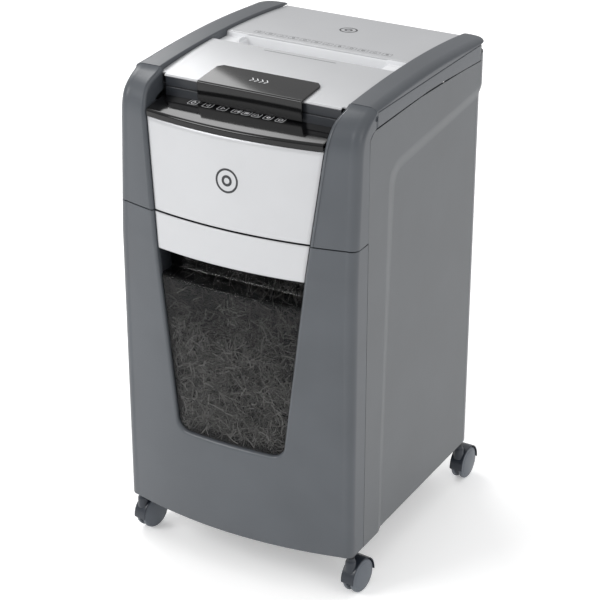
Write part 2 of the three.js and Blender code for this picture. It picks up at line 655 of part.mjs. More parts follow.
// ---- bin ----------------------------------------------------------------------------------------
const GRIP = { low: 488, high: 528 };
const WINDOW_LOW = 233;
const frameRings = [Z_SKIRT, 300, 528, Z_PART - 0.8].map((z) => frontRing(z, 0, SKIN));
const frameShell = loft(frameRings, 0, 1);
const backFlange = bothBoxes(170, 197.5, SEAM_Y - 4, SEAM_Y - 1, 100, 575);
const viewOpening = trimOpening(WINDOW_LOW, Z_PART + 5, 0.4, 22);
add("bin_frame", "grey", cut(join(frameShell, ...backFlange), viewOpening));
add("bin_band", "silver", trimPanel(GRIP.high, Z_PART - 1.2, SILVER_SET - 0.6, SKIN, 0.2, 1));

// Grip scoop behind the band: a ledge that follows the front, tapering ends, a back and a top.
function scoop() {
  const side = (z) => trimHalf(z) + 0.6;
  const [low, high] = [GRIP.low - 3, 583];
  const xs = span(-side(low) + 1, side(low) - 1, 10);
  const lip = (z) => xs.map((x) => [x, frontY(x, z) + SILVER_SET, z]);
  const edge = (z) => [...lip(z), ...xs.map((x) => [x, -200, z]).reverse()];
  const ledge = loft([edge(low), edge(GRIP.low)], 0, 1);
  const half = [[side(low) + 3, low], [side(high) + 3, high]];
  const end = alongY([[side(low), low], ...half, [side(high), high]], -222, -190);
  const back = alongY([...half, ...half.map(([x, z]) => [-x, z]).reverse()], -193, -190);
  const floor = box(-side(low) - 1, side(low) + 1, -202, -190, low, GRIP.low);
  const top = box(-side(high) - 1, side(high) + 1, -206, -190, high - 3, high);
  return join(ledge, end, mirrored(end), back, floor, top);
}
add("bin_scoop", "dark", scoop());
const windowPane = trimPanel(WINDOW_LOW - 8, GRIP.low - 3.4, SILVER_SET + 0.2, 2.5, -3, 2);
add("bin_window", "smoked", windowPane);

const BUCKET = { x: 183, y0: -176.6, y1: 176, z0: 92, z1: 478 };
const bucketOuter = box(-BUCKET.x, BUCKET.x, BUCKET.y0, BUCKET.y1, BUCKET.z0, BUCKET.z1);
const [innerX, innerY] = [BUCKET.x - 3, BUCKET.y1 - 3];
const bucketInner = box(-innerX, innerX, BUCKET.y0 + 3, innerY, BUCKET.z0 + 3, BUCKET.z1 + 5);
const bucketView = box(-95, 95, BUCKET.y0 - 5, BUCKET.y0 + 8, 250, BUCKET.z1 + 5);
add("bin_bucket", "dark", cut(bucketOuter, bucketInner, bucketView));
const [runnerLeft, runnerRight] = bothBoxes(184, 190, BUCKET.y0, 170, 98, 112);
add("bin_runner_right", "nylon", runnerRight);
add("bin_runner_left", "nylon", runnerLeft);
add("guide_right", "nylon", box(184, 191, -170, 180, 86.3, 97.6));
add("guide_left", "nylon", box(-191, -184, -170, 180, 86.3, 97.6));

// ---- castors ------------------------------------------------------------------------------------
// Hood, neck and stem in one moulding; its web stands between the wheels. Drawn trailing to +Y.
function castorHood() {
  const a = { y: CASTOR.trail, z: CASTOR.r };
  const fender = span(-0.12 * Math.PI, 1.06 * Math.PI, 9);
  const ringAt = (r) => fender.map((t) => [a.y - r * Math.cos(t), a.z + r * Math.sin(t)]);
  const cover = alongX([...ringAt(31), ...ringAt(28.9).reverse()].reverse(), -11.5, 11.5);
  const web = alongX([...ringAt(30), [a.y, a.z - 8]].reverse(), -3.4, 3.4);
  const neck = barZ(8, 46, 68.5, 0, 0, 12);
  const stem = barZ(4, 60, 78, 0, 0, 12);
  const well = barX(28.9, 3.4, 20, a.y, a.z, 18);
  const body = cut(join(cover, neck), well, mirrored(well));
  return cut(join(body, web, stem), barX(4.4, -6, 6, a.y, a.z, 12));
}
// Two domed wheels on one axle.
function castorWheels() {
  const half = [
    [0, 0],
    [4, 0],
    [4, 3.8],
    [24, 3.8],
    [CASTOR.r, 5.5],
    [CASTOR.r, 9.5],
    [25.5, 11],
    [14, 12.2],
    [0, 12.5],
  ];
  const left = half.slice(1).map(([r, x]) => [r, -x]).reverse();
  return turnedX([...left, ...half.slice(1)], CASTOR.trail, CASTOR.r, 18);
}
const hoodShape = castorHood();
const wheelShape = castorWheels();
for (const [name, x, y, degrees] of castorStems) {
  const place = (body) => body.rotate([0, 0, -degrees]).translate([x, y, 0]);
  add("castor_" + name + "_hood", "castor_hood", place(hoodShape));
  add("castor_" + name + "_wheels", "castor_disc", place(wheelShape));
}

export default machine;
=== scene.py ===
# %% [markdown]
# # A paper shredder, drawn piece by piece
# Each step below explains one part of the machine, then draws it. Lengths are thought of in
# millimetres and turned into metres only when a mesh is made. +Z is up and the front faces -Y.

import json
import math

import bmesh
import bpy
import numpy as np
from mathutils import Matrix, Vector


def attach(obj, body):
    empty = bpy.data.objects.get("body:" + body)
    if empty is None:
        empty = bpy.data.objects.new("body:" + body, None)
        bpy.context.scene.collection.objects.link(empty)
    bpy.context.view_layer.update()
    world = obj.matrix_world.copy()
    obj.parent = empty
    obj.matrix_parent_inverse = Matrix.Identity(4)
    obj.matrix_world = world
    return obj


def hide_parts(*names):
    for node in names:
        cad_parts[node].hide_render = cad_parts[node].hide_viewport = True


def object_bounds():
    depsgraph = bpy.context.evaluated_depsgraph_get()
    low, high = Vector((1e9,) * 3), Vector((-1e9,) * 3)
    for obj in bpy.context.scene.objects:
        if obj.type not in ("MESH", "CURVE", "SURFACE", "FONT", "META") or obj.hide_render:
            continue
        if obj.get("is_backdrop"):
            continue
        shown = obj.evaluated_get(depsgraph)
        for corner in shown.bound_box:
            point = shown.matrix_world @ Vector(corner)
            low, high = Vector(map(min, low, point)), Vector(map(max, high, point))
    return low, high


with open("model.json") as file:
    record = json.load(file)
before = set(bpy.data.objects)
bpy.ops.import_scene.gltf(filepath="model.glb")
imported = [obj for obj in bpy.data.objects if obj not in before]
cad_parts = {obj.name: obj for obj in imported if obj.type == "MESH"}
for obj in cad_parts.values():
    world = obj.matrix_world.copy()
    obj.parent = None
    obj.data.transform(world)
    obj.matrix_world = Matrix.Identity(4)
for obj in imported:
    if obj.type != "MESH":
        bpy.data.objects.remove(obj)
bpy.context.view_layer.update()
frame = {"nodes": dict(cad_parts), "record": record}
rng = np.random.default_rng(7)
MM = 0.001
print("nodes in the frame:", len(frame["nodes"]))

# %% [markdown]
# ## Measurements
# The cabinet is 400 mm wide. Its front bulges by 24.5 mm, leans back above the hand grip, and
# turns into the sides through upright corners of 14 mm radius.

# %% Measurements
HALF_W, FRONT, REAR, SEAM = 200.0, -218.0, 218.0, -176.0
BOW, BOW_HALF, CORNER, BACK_CORNER = 24.5, 185.0, 14.0, 30.0
SKIRT, PARTING = 77.0, 586.0
SILVER_SET = 4.0
ARM_BACK, RIM_Z = -157.0, 776.0
RAIL_IN = 157.5
WINDOW_LOW, GRIP_LOW, GRIP_HIGH = 233.0, 488.0, 528.0
SIDE_BACK = REAR - BACK_CORNER
print("cabinet:", 2 * HALF_W, "mm wide")


def lean(z):
    """How far the front leans back at height z: none up to the grip, then 1 mm in 18."""
    return np.maximum(0.0, 3.5 + 0.0557 * (np.asarray(z, float) - 528.0) - SILVER_SET)


def front_y(x, z):
    """y of the grey front at (x, z): a shallow parabola across, moved back by the lean."""
    bulge = BOW * np.maximum(0.0, 1.0 - (np.abs(x) / BOW_HALF) ** 2)
    return FRONT + lean(z) - bulge


def trim_half(z):
    """Half width of the silver trim and window: one straight taper, narrower lower down."""
    return 147.0 - 0.1128 * (727.0 - np.asarray(z, float))


def rail_top(y):
    """Height of a lid rail: two parabolas meeting at the crown, 20 mm behind the middle."""
    y = np.asarray(y, float)
    return 790.9 - np.where(y < 20, 2.17e-4, 2.8e-4) * (y - 20) ** 2


def silver_top(y):
    """Height of the silver lid: like the rails, 5 mm lower."""
    y = np.asarray(y, float)
    return 786.0 - np.where(y < 15, 3.3e-4, 2.7e-4) * (y - 15) ** 2


# %% [markdown]
# ## Turning arrays into meshes
# Every surface is a grid of points, worked out as whole arrays. `patch` joins such a grid with
# four-sided faces; `tidy` gives it walls, softened edges and even shading.


# %% Mesh helpers
def smoothstep(a, b, v):
    """0 below a, 1 above b, and an S-curve between."""
    t = np.clip((np.asarray(v, float) - a) / (b - a), 0, 1)
    return t * t * (3 - 2 * t)


def grid(*columns):
    """Stacks x, y and z arrays, stretched to one shape, into an array of points."""
    return np.stack(np.broadcast_arrays(*columns), -1).astype(float)


def grid_faces(u, v, wrap_u=False, wrap_v=False):
    """Corner numbers of the four-sided faces of a u by v grid, joined end to end if asked."""
    steps_u = np.arange(u if wrap_u else u - 1)
    steps_v = np.arange(v if wrap_v else v - 1)
    i, j = np.meshgrid(steps_u, steps_v, indexing="ij")
    i2, j2 = (i + 1) % u, (j + 1) % v
    return np.stack([i * v + j, i2 * v + j, i2 * v + j2, i * v + j2], -1).reshape(-1, 4)


def put(name, points, faces, material, extra=()):
    """Makes an object from points in millimetres and its faces, merged and facing outward."""
    mesh = bpy.data.meshes.new(name)
    corners = np.asarray(points).reshape(-1, 3) * MM
    mesh.from_pydata(corners.tolist(), [], list(map(list, faces)) + list(extra))
    work = bmesh.new()
    work.from_mesh(mesh)
    bmesh.ops.remove_doubles(work, verts=work.verts, dist=2e-6)
    bmesh.ops.recalc_face_normals(work, faces=work.faces)
    work.to_mesh(mesh)
    work.free()
    mesh.polygons.foreach_set("use_smooth", np.ones(len(mesh.polygons), bool))
    mesh.materials.append(material)
    piece = bpy.data.objects.new(name, mesh)
    bpy.context.scene.collection.objects.link(piece)
    return piece


def face_towards(piece, direction):
    """Turns an open sheet so that its faces look the given way on average."""
    mesh = piece.data
    normals = np.array([p.normal for p in mesh.polygons])
    areas = np.array([p.area for p in mesh.polygons])
    if ((normals * areas[:, None]).sum(0) @ np.array(direction, float)) < 0:
        mesh.flip_normals()
    return piece


def tidy(piece, body, nodes=(), wall=0.0, bevel=0.0, towards=None, angle=38):
    """Gives a piece its wall, softened edges and even shading, and ties it to its body."""
    if towards is not None:
        face_towards(piece, towards)
    if wall:
        m = piece.modifiers.new("wall", "SOLIDIFY")
        m.thickness, m.offset = wall * MM, -1.0
    if bevel:
        m = piece.modifiers.new("edges", "BEVEL")
        m.width, m.segments, m.limit_method = bevel * MM, 3, "ANGLE"
        m.angle_limit = math.radians(angle)
        m.use_clamp_overlap = True
    m = piece.modifiers.new("even", "WEIGHTED_NORMAL")
    m.keep_sharp = True
    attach(piece, body)
    if nodes:
        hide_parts(*([nodes] if isinstance(nodes, str) else nodes))
    print(piece.name, len(piece.data.polygons), "faces")
    return piece


def patch(name, points, material, wrap_u=False, skip=None):
    """One grid of points as a mesh; skip marks faces that are left open."""
    u, v = points.shape[:2]
    faces = grid_faces(u, v, wrap_u)
    if skip is not None:
        faces = faces[~np.asarray(skip).reshape(-1)]
    return put(name, points, faces, material)


def tube(name, rings, material):
    """Closed rings (ring, point, xyz) joined in order, with a flat face over each end."""
    n, m = rings.shape[:2]
    ends = [list(range(m)), list(range((n - 1) * m, n * m))]
    return put(name, rings, grid_faces(n, m, wrap_v=True), material, ends)


def soften(line, reach):
    """The running mean of a line over reach points either side, with both ends kept in place."""
    padded = np.pad(line, ((reach, reach), (0, 0)), mode="reflect", reflect_type="odd")
    window = np.ones(2 * reach + 1) / (2 * reach + 1)
    columns = [np.convolve(column, window, "valid") for column in padded.T]
    return np.stack(columns, -1)


def along(points, n, reach=0):
    """n points spread evenly along a broken line, its corners softened if a reach is given."""
    points = np.asarray(points, float)
    step = np.r_[0, np.cumsum(np.linalg.norm(np.diff(points, axis=0), axis=1))]
    at = np.linspace(0, step[-1], n)
    line = np.stack([np.interp(at, step, points[:, k]) for k in range(points.shape[1])], -1)
    return soften(line, reach) if reach else line


# %% [markdown]
# ## Materials
# Moulded plastics get a fine grain in their bump and a faint cloud in their colour and gloss,
# both painted in object coordinates, so nothing is one flat colour.


# %% Materials
def linear(*rgb):
    """Display colours from 0 to 255 as linear light."""
    c = np.array(rgb, float) / 255
    return tuple(np.where(c <= 0.04045, c / 12.92, ((c + 0.055) / 1.055) ** 2.4)) + (1.0,)


def surface(name, rgb, rough, grain=900.0, bump=0.05, cloud=0.06, metal=0.0, alpha=1.0, spec=0.5):
    """A plastic or metal: cloudy colour and gloss, with a grain in the bump."""
    m = bpy.data.materials.new(name)
    m.use_nodes = True
    tree = m.node_tree
    new, link = tree.nodes.new, tree.links.new
    shader = tree.nodes["Principled BSDF"]
    shader.inputs["Metallic"].default_value = metal
    shader.inputs["Specular IOR Level"].default_value = spec
    shader.inputs["Alpha"].default_value = alpha
    where = new("ShaderNodeTexCoord")
    noise = new("ShaderNodeTexNoise")
    noise.inputs["Scale"].default_value = 9.0
    noise.inputs["Detail"].default_value = 3.0
    link(where.outputs["Object"], noise.inputs["Vector"])
    ramp = new("ShaderNodeValToRGB")
    base = np.array(linear(*rgb))
    for stop, gain in zip(ramp.color_ramp.elements, (1 - cloud, 1 + cloud)):
        stop.color = tuple(np.minimum(base[:3] * gain, 1)) + (1.0,)
    ramp.color_ramp.elements[0].position = 0.35
    ramp.color_ramp.elements[1].position = 0.65
    link(noise.outputs["Fac"], ramp.inputs["Fac"])
    link(ramp.outputs["Color"], shader.inputs["Base Color"])
    gloss = new("ShaderNodeMapRange")
    gloss.inputs["To Min"].default_value = rough * 0.92
    gloss.inputs["To Max"].default_value = min(1.0, rough * 1.08)
    link(noise.outputs["Fac"], gloss.inputs["Value"])
    link(gloss.outputs["Result"], shader.inputs["Roughness"])
    fine = new("ShaderNodeTexNoise")
    fine.inputs["Scale"].default_value = grain
    fine.inputs["Detail"].default_value = 2.0
    link(where.outputs["Object"], fine.inputs["Vector"])
    relief = new("ShaderNodeBump")
    relief.inputs["Strength"].default_value = bump
    relief.inputs["Distance"].default_value = 0.0002
    link(fine.outputs["Fac"], relief.inputs["Height"])
    link(relief.outputs["Normal"], shader.inputs["Normal"])
    return m


GREY = surface("grey_plastic", (76, 80, 85), 0.36, bump=0.08)
GREY_SIDE = surface("grey_side_plastic", (89, 92, 95), 0.44, bump=0.1)
SILVER = surface("silver_lacquer", (192, 193, 195), 0.3, grain=1600, bump=0.03, cloud=0.015, metal=0.25)
BLACK = surface("gloss_black", (13, 13, 14), 0.09, bump=0.0, cloud=0.1, spec=0.4)
DARK = surface("dark_plastic", (34, 36, 39), 0.5, bump=0.1)
# A darker copy of the grey plastic for the recess wall, the lid's skirt and the grip's cheeks: painted
# shade.
SHADED_RECESS_GREY = surface("recess_plastic_painted_shade", (46, 49, 54), 0.34, bump=0.06)
SMOKED = surface("smoked_plastic", (12, 12, 13), 0.1, bump=0.0, alpha=0.42, spec=0.3)
WHITE = surface("white_plastic", (228, 229, 231), 0.35, bump=0.04, cloud=0.02)
PAPER = surface("paper", (236, 235, 230), 0.8, grain=2500, bump=0.2, cloud=0.12)
STEEL = surface("steel", (150, 153, 156), 0.28, grain=500, bump=0.1, metal=1.0)
ZINC = surface("zinc", (178, 181, 184), 0.42, grain=160, bump=0.12, cloud=0.12, metal=1.0)
NYLON = surface("nylon", (206, 202, 186), 0.5, bump=0.06)
RUBBER = surface("rubber", (30, 30, 31), 0.8, grain=1400, bump=0.25)
BOARD = surface("board", (30, 92, 54), 0.45, grain=300, bump=0.2, cloud=0.2)
HOOD = surface("castor_hood_plastic", (36, 42, 51), 0.34, bump=0.05)
DISC = surface("castor_disc_plastic", (86, 92, 100), 0.4, bump=0.06)
PRINT = surface("white_print", (225, 226, 228), 0.4, bump=0.0, cloud=0.03)
INK = surface("dark_print", (44, 45, 48), 0.5, bump=0.0, cloud=0.05)

# The paper's colour is multiplied by a value that each strip carries: a random tone of its own, with
# painted shade that darkens the strips lying deeper behind the pane.
paper_tree = PAPER.node_tree
attribute = paper_tree.nodes.new("ShaderNodeAttribute")
attribute.attribute_name = "tone_and_painted_shade"
times = paper_tree.nodes.new("ShaderNodeVectorMath")
times.operation = "SCALE"
paper_ramp = next(n for n in paper_tree.nodes if n.type == "VALTORGB")
paper_shader = paper_tree.nodes["Principled BSDF"]
paper_tree.links.new(paper_ramp.outputs["Color"], times.inputs[0])
paper_tree.links.new(attribute.outputs["Fac"], times.inputs["Scale"])
paper_tree.links.new(times.outputs["Vector"], paper_shader.inputs["Base Color"])
print("materials:", len(bpy.data.materials))

# %% [markdown]
# ## The bin's front frame
# A point on the front is named by how far it lies round the front from the middle, `q`, and its
# height. Up to 186 mm it is on the bulging front, then on the corner, then on the side return.


# %% Front skin
ARC = CORNER * math.pi / 2
Q_CORNER = HALF_W - CORNER
SIDE_END = SEAM - 0.3
Q_END = Q_CORNER + ARC + (SIDE_END - FRONT - CORNER)


def skin_point(q, z, depth=0.0):
    """The point q round the front at height z: parabola, quarter circle, then straight back."""
    a, side = np.abs(q), np.where(np.asarray(q) < 0, -1.0, 1.0)
    turn = np.clip((a - Q_CORNER) / CORNER, 0, math.pi / 2)
    back = np.clip((a - Q_CORNER - ARC) / (Q_END - Q_CORNER - ARC), 0, 1)
    plane = FRONT + lean(z)
    x = np.minimum(a, Q_CORNER) + CORNER * np.sin(turn) - depth * np.sin(turn)
    y = np.where(a < Q_CORNER, front_y(a, z), plane + CORNER * (1 - np.cos(turn)))
    y = y + back * (SIDE_END - plane - CORNER) + depth * np.cos(turn)
    return grid(side * x, y, z)


# %% [markdown]
# The frame is drawn between two lines of (q, z) with the same count of points: the edge of the
# window's opening, and the frame's outer edge. Rows between them start with a small fillet.

# %% Front frame
TOP = PARTING - 0.8
OPEN_R = 22.0
PLAY = 0.4
FILLET = 6.0
LIP_DEEP = 9.0
LEG_POINTS = 110
FILLET_ROWS, FLAT_ROWS = 8, 70


def opening_edge(n_low):
    """The window opening's edge from its top left, down, round two corners, and up again."""
    low = float(trim_half(WINDOW_LOW + OPEN_R)) + PLAY
    t = np.linspace(0, math.pi / 2, 25)
    arc_x = low - OPEN_R + OPEN_R * np.sin(t)
    arc_z = WINDOW_LOW + OPEN_R - OPEN_R * np.cos(t)
    arc = np.stack([arc_x, arc_z], -1)
    half = along(np.r_[arc[12:], [[float(trim_half(TOP)) + PLAY, TOP]]], LEG_POINTS)
    lower = along(np.r_[[[0.0, WINDOW_LOW]], arc[:13]], n_low)
    mirror = [-1, 1]
    return np.r_[(half * mirror)[::-1], (lower * mirror)[::-1][1:-1], lower, half[1:]]


inner = opening_edge(60)
count = len(inner)
low_count = count - 2 * LEG_POINTS + 2
outer_down = np.stack([np.full(LEG_POINTS, -Q_END), np.linspace(TOP, SKIRT, LEG_POINTS)], -1)
outer_low = np.stack([np.linspace(-Q_END, Q_END, low_count), np.full(low_count, SKIRT)], -1)
outer = np.r_[outer_down, outer_low[1:-1], outer_down[::-1] * [-1, 1]]

# frac is how far each row lies from the opening (0) to the outer edge (1).
gap = np.linalg.norm(outer - inner, axis=1)
on_fillet = np.linspace(0, FILLET, FILLET_ROWS + 1)[:-1, None] / gap
beyond = np.linspace(0, 1, FLAT_ROWS)[:, None] ** 1.15
frac = np.r_[on_fillet, FILLET / gap + beyond * (1 - FILLET / gap)]
dist = np.minimum(frac * gap, FILLET)
sink = FILLET - np.sqrt(np.maximum(FILLET**2 - (FILLET - dist) ** 2, 0))
q_rows = inner[None, :, 0] * (1 - frac) + outer[None, :, 0] * frac
z_rows = inner[None, :, 1] * (1 - frac) + outer[None, :, 1] * frac
front_points = skin_point(q_rows, z_rows, sink)
lip_depths = np.linspace(LIP_DEEP, FILLET, 4)[:-1]
lip = np.stack([skin_point(inner[:, 0], inner[:, 1], np.full(count, d)) for d in lip_depths])
frame_piece = patch("bin_front_frame", np.r_[lip, front_points], GREY)
tidy(frame_piece, "bin", ["bin_frame"], wall=2.4, bevel=0.5, towards=(0, -1, 0))

# %% [markdown]
# ## Head arms
# Each arm's outline in the side view runs up the front, over a rounded shoulder and back to the
# lid. It is carried across from the silver trim to the outer corner, where it rolls over.

# %% Arm outline
SHOULDER = [
    (0, 726), (1.2, 735), (3.5, 745), (7.5, 755), (14, 763.5), (23, 770.5), (34, 775.5), (46, 779.5),
]
SIDE_TOP = np.array([
    (SEAM, 740), (-174.5, 743.5), (-171, 746.5), (-165.5, 750.5), (-159, 753), (-117, 754.3),
    (-50, 756), (10, 757), (60, 756), (112, 753.5), (SIDE_BACK - 0.3, 750),
])
N_ARM = 150
low_z = PARTING + 1.0
face = [(FRONT + float(lean(z)), z) for z in np.linspace(low_z, 722, 10)]
start = FRONT + float(lean(726))
outline = face + [(start + dy, z) for dy, z in SHOULDER] + [(ARM_BACK, 783.4)]
path = along(outline, N_ARM, reach=4)
slope = np.gradient(path, axis=0)
slope /= np.linalg.norm(slope, axis=1)[:, None]
path_y, path_z = path.T
normal_y, normal_z = -slope[:, 1], slope[:, 0]
arm_end = [(ARM_BACK - 0.4, 753.4), (ARM_BACK - 0.4, 768)]
seam_line = np.r_[[(SEAM, low_z), (SEAM, 735)], SIDE_TOP[:5], arm_end]
seam_y, seam_z = along(seam_line, N_ARM).T
x_in = trim_half(path_z) + 0.6
fade = smoothstep(0, 34, ARM_BACK - path_y)
print("arm outline:", N_ARM, "points")

# %% [markdown]
# Strips of points run from the trim to the corner, over the corner, and down to the seam with the
# side panel. The inner edge rolls over with a 6 mm fillet, then drops as the wall of the recess.


# %% Arm surface
def bulge_at(x):
    """How far the front stands out at x: a parabola across, fading out over the shoulder."""
    return BOW * np.maximum(0, 1 - (x / BOW_HALF) ** 2) * fade


round_in = CORNER - 6.6 * smoothstep(-192, ARM_BACK, path_y)  # the corner tightens towards the lid
v = np.linspace(0, 1, 20)[:-1, None]
x = x_in + (Q_CORNER - x_in) * v
flat = grid(x, path_y - bulge_at(x), path_z)
flat[..., 0] = np.maximum(x, x_in + FILLET)

turn = np.linspace(0, math.pi / 2, 14)[:, None]
x = Q_CORNER + CORNER * np.sin(turn)
inset = round_in * (1 - np.cos(turn))
arc = grid(x, path_y - normal_y * inset - bulge_at(x), path_z - normal_z * inset)

v = np.linspace(0, 1, 18)[1:, None]
side_y = (path_y - normal_y * round_in) * (1 - v) + seam_y * v
side_z = (path_z - normal_z * round_in) * (1 - v) + seam_z * v
side = grid(HALF_W, side_y, side_z)

roll = np.linspace(0, math.pi / 2, 8)[:-1, None]
inset = FILLET * (1 - np.sin(roll))
edge_y = path_y - bulge_at(x_in)
rolled = grid(x_in + FILLET * (1 - np.cos(roll)), edge_y - normal_y * inset, path_z - normal_z * inset)
inset = np.array([30, 16, 8])[:, None]
inward = grid(x_in, edge_y - normal_y * inset, path_z - normal_z * inset)
arm_points = np.concatenate([inward, rolled, flat, arc, side])
RIM_PROFILE = [  # x, height, and whether it is measured from the rim's top or from the seam
    (192.0, 0, True), (198.8, 0, True), (199.7, -0.4, True), (199.95, -1.3, True),
    (199.95, 0.8, False), (199.4, 0.2, False), (194.0, 0, False), (192.0, 0, False),
]


def both_sides(make):
    """Draws a right-hand piece and its mirror image on the left."""
    for side, sign in (("right", 1.0), ("left", -1.0)):
        make(side, np.array([sign, 1.0, 1.0]))


def draw_arm(side, flip):
    """One arm's skin, and the rim that runs back from it between the side panel and the lid."""
    piece = patch("head_arm_skin_" + side, arm_points * flip, GREY)
    tidy(piece, "cabinet", ["head_arm_" + side], wall=2.2, bevel=0.5, towards=(0, -1, 0.6))
    rim_y = np.linspace(ARM_BACK + 0.1, SIDE_BACK - 0.4, 60)
    low = np.interp(rim_y, SIDE_TOP[:, 0], SIDE_TOP[:, 1]) + 0.4
    rings = [grid(x, rim_y, RIM_Z + dz if top else low + dz) for x, dz, top in RIM_PROFILE]
    rim = tube("head_rim_" + side, np.stack(rings, 1) * flip, GREY)
    tidy(rim, "cabinet", (), bevel=0.0)


both_sides(draw_arm)

# %% [markdown]
# ## Silver trim
# The head front and the bin's band are one family: a grid across and up, 4 mm behind the grey.


# %% Silver trim
def trim_panel(name, low, high, back, inset, material, nx=90, nz=40, roll=1.6):
    """A tapering panel that follows the front, its rim rolled back by a small quarter round."""
    s = np.linspace(-1, 1, nx)[None, :]
    z = np.linspace(low, high, nz)[:, None]
    x = s * (trim_half(z) - inset)
    side = (trim_half(z) - inset) - np.abs(x)
    edge = np.minimum(np.minimum(side, z - low), high - z)
    fall = roll - np.sqrt(np.maximum(roll**2 - np.maximum(roll - edge, 0) ** 2, 0))
    return patch(name, grid(x, front_y(x, z) + back + fall, z), material)


head = trim_panel("head_front_trim", PARTING + 1.2, 726.8, SILVER_SET, 0.5, SILVER)
tidy(head, "cabinet", ["head_front"], wall=2.2, bevel=0.6, towards=(0, -1, 0))
band = trim_panel("bin_band_trim", GRIP_HIGH, PARTING - 1.0, SILVER_SET - 0.2, 0.5, SILVER)
tidy(band, "bin", ["bin_band"], wall=2.4, bevel=0.6, towards=(0, -1, 0))

# %% [markdown]
# ## Control panel
# A glossy strip: a thin front band, a rounded nose, and a top that climbs to the recess wall.


# %% Control panel
PANEL_BACK, PANEL_BACK_Z = -161.6, 744.2


def panel_point(x, s):
    """s from 0 to 1 up the front band, 1 to 2 round the nose, 2 to 3 back over the top."""
    x, s = np.broadcast_arrays(np.asarray(x, float), np.asarray(s, float))
    nose = front_y(x, 727.0) + SILVER_SET - 0.6
    r = 4.5  # radius of the nose, which turns through 84 degrees
    turn = np.clip(s - 1, 0, 1) * math.radians(84)
    y = nose + r * (1 - np.cos(turn))
    z = 728.0 + 6.5 * np.clip(s, 0, 1) + r * np.sin(turn)
    over = np.clip(s - 2, 0, 1)
    y = y + over * (PANEL_BACK - y)
    z = z + over * (PANEL_BACK_Z - z) + 1.4 * np.sin(math.pi * over) * (s > 2)
    return grid(x, y, z)


xs = np.linspace(-146.2, 146.2, 110)[:, None]
stages = np.r_[np.linspace(0, 1, 5), np.linspace(1, 2, 12)[1:], np.linspace(2, 3, 22)[1:]]
panel = patch("control_panel_gloss", panel_point(xs, stages[None, :]), BLACK)
tidy(panel, "cabinet", ["control_panel"], wall=2.0, bevel=0.3, towards=(0, -0.5, 1))

# %% [markdown]
# ### Touch symbols
# Eight flush marks in rounded frames, each a simple sign: ring, arrows, bars, dots. A mark is drawn
# flat, as strips of points, then laid on its surface a tenth of a millimetre proud.


# %% Symbols
def stroke(points, width, closed=False):
    """A flat ribbon of even width along a line: pairs of points either side of it."""
    p = np.asarray(points, float)
    if closed:
        d = np.roll(p, -1, 0) - np.roll(p, 1, 0)
    else:
        d = np.gradient(p, axis=0)
    d /= np.linalg.norm(d, axis=1)[:, None] + 1e-9
    n = np.stack([-d[:, 1], d[:, 0]], -1) * width / 2
    return np.stack([p - n, p + n], 1)


def ring_line(r, n=28, a0=0.0, a1=2 * math.pi):
    """Points on a circle of radius r from angle a0 to a1; a full turn leaves out its last point."""
    t = np.linspace(a0, a1, n, endpoint=abs(a1 - a0) < 6.2)
    return np.stack([r * np.cos(t), r * np.sin(t)], -1)


def round_box(w, h, r, n=6):
    """A rectangle w by h with corners of radius r, as a closed line."""
    t = np.linspace(0, math.pi / 2, n)
    corner = np.stack([np.cos(t), np.sin(t)], -1) * r
    turns = [(1, 1, 0), (-1, 1, 1), (-1, -1, 2), (1, -1, 3)]
    parts = []
    for sx, sy, k in turns:
        c, s = math.cos(k * math.pi / 2), math.sin(k * math.pi / 2)
        spun = corner @ np.array([[c, s], [-s, c]])
        parts.append(spun + [sx * (w / 2 - r), sy * (h / 2 - r)])
    return np.concatenate(parts)


def marks(name, items, lay, material, body):
    """Ribbons (line, width, closed) laid on a surface by lay(u, v) and joined in one mesh."""
    points, faces, base = [], [], 0
    for line, width, closed in items:
        ribbon = stroke(line, width, closed)
        n = len(ribbon)
        points.append(lay(ribbon[..., 0], ribbon[..., 1]).reshape(-1, 3))
        faces.append(grid_faces(n, 2, wrap_u=closed) + base)
        base += n * 2
    piece = put(name, np.concatenate(points), np.concatenate(faces), material)
    face_towards(piece, (0, -0.5, 1))
    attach(piece, body)
    print(name, base, "points")
    return piece


def panel_lay(u, v):
    """Lays (u, v) on the panel's top, v being y itself."""
    nose = panel_point(u, 2.0)[..., 1]
    p = panel_point(u, 2.0 + np.clip((v - nose) / (PANEL_BACK - nose), 0.01, 1))
    p[..., 2] += 0.12
    return p


def sign(kind, size):
    """The line work of one sign, centred on zero."""

    def bar(x, low, high):
        """An upright bar at x."""
        return np.array([[x, low], [x, (low + high) / 2], [x, high]]) * size, 0.22 * size, False

    def arrow(way):
        """A triangle that points right (1) or left (-1)."""
        corners = [[-0.25 * way, -0.4], [-0.25 * way, 0.4], [0.4 * way, 0.0]]
        return np.array(corners) * size, 0.2 * size, True

    peak = np.array([[-0.45, -0.3], [0, 0.4], [0.45, -0.3]])
    return {
        "power": [(ring_line(0.38 * size, 20, 2.0, 7.4), 0.18 * size, False), bar(0, 0.1, 0.55)],
        "back": [arrow(-1)],
        "on": [arrow(1)],
        "skip": [arrow(1), bar(0.5, -0.4, 0.4)],
        "bars": [bar(x, -0.35, 0.35) for x in (-0.3, 0.0, 0.3)],
        "peak": [(peak * size, 0.2 * size, True)],
        "dot": [(ring_line(0.25 * size, 16), 0.3 * size, True)],
        "ring": [(ring_line(0.36 * size, 20), 0.18 * size, True)],
    }[kind]


# Where each sign stands across the panel, in the row at SIGN_Y.
PANEL_SIGNS = [
    (-92, "power"), (-67, "back"), (-42, "on"), (-19, "skip"),
    (-2, "bars"), (15, "peak"), (34, "dot"), (54, "ring"),
]
SIGN_Y = -170.5
items = []
for u, kind in PANEL_SIGNS:
    wide = 14.5 if u < -30 else 12.5
    items.append((round_box(wide, 15.0, 2.6) + [u, SIGN_Y], 0.9, True))
    items += [(line * [1.0, 1.4] + [u, SIGN_Y], w, closed) for line, w, closed in sign(kind, 7.6)]
marks("panel_signs", items, panel_lay, PRINT, "cabinet")

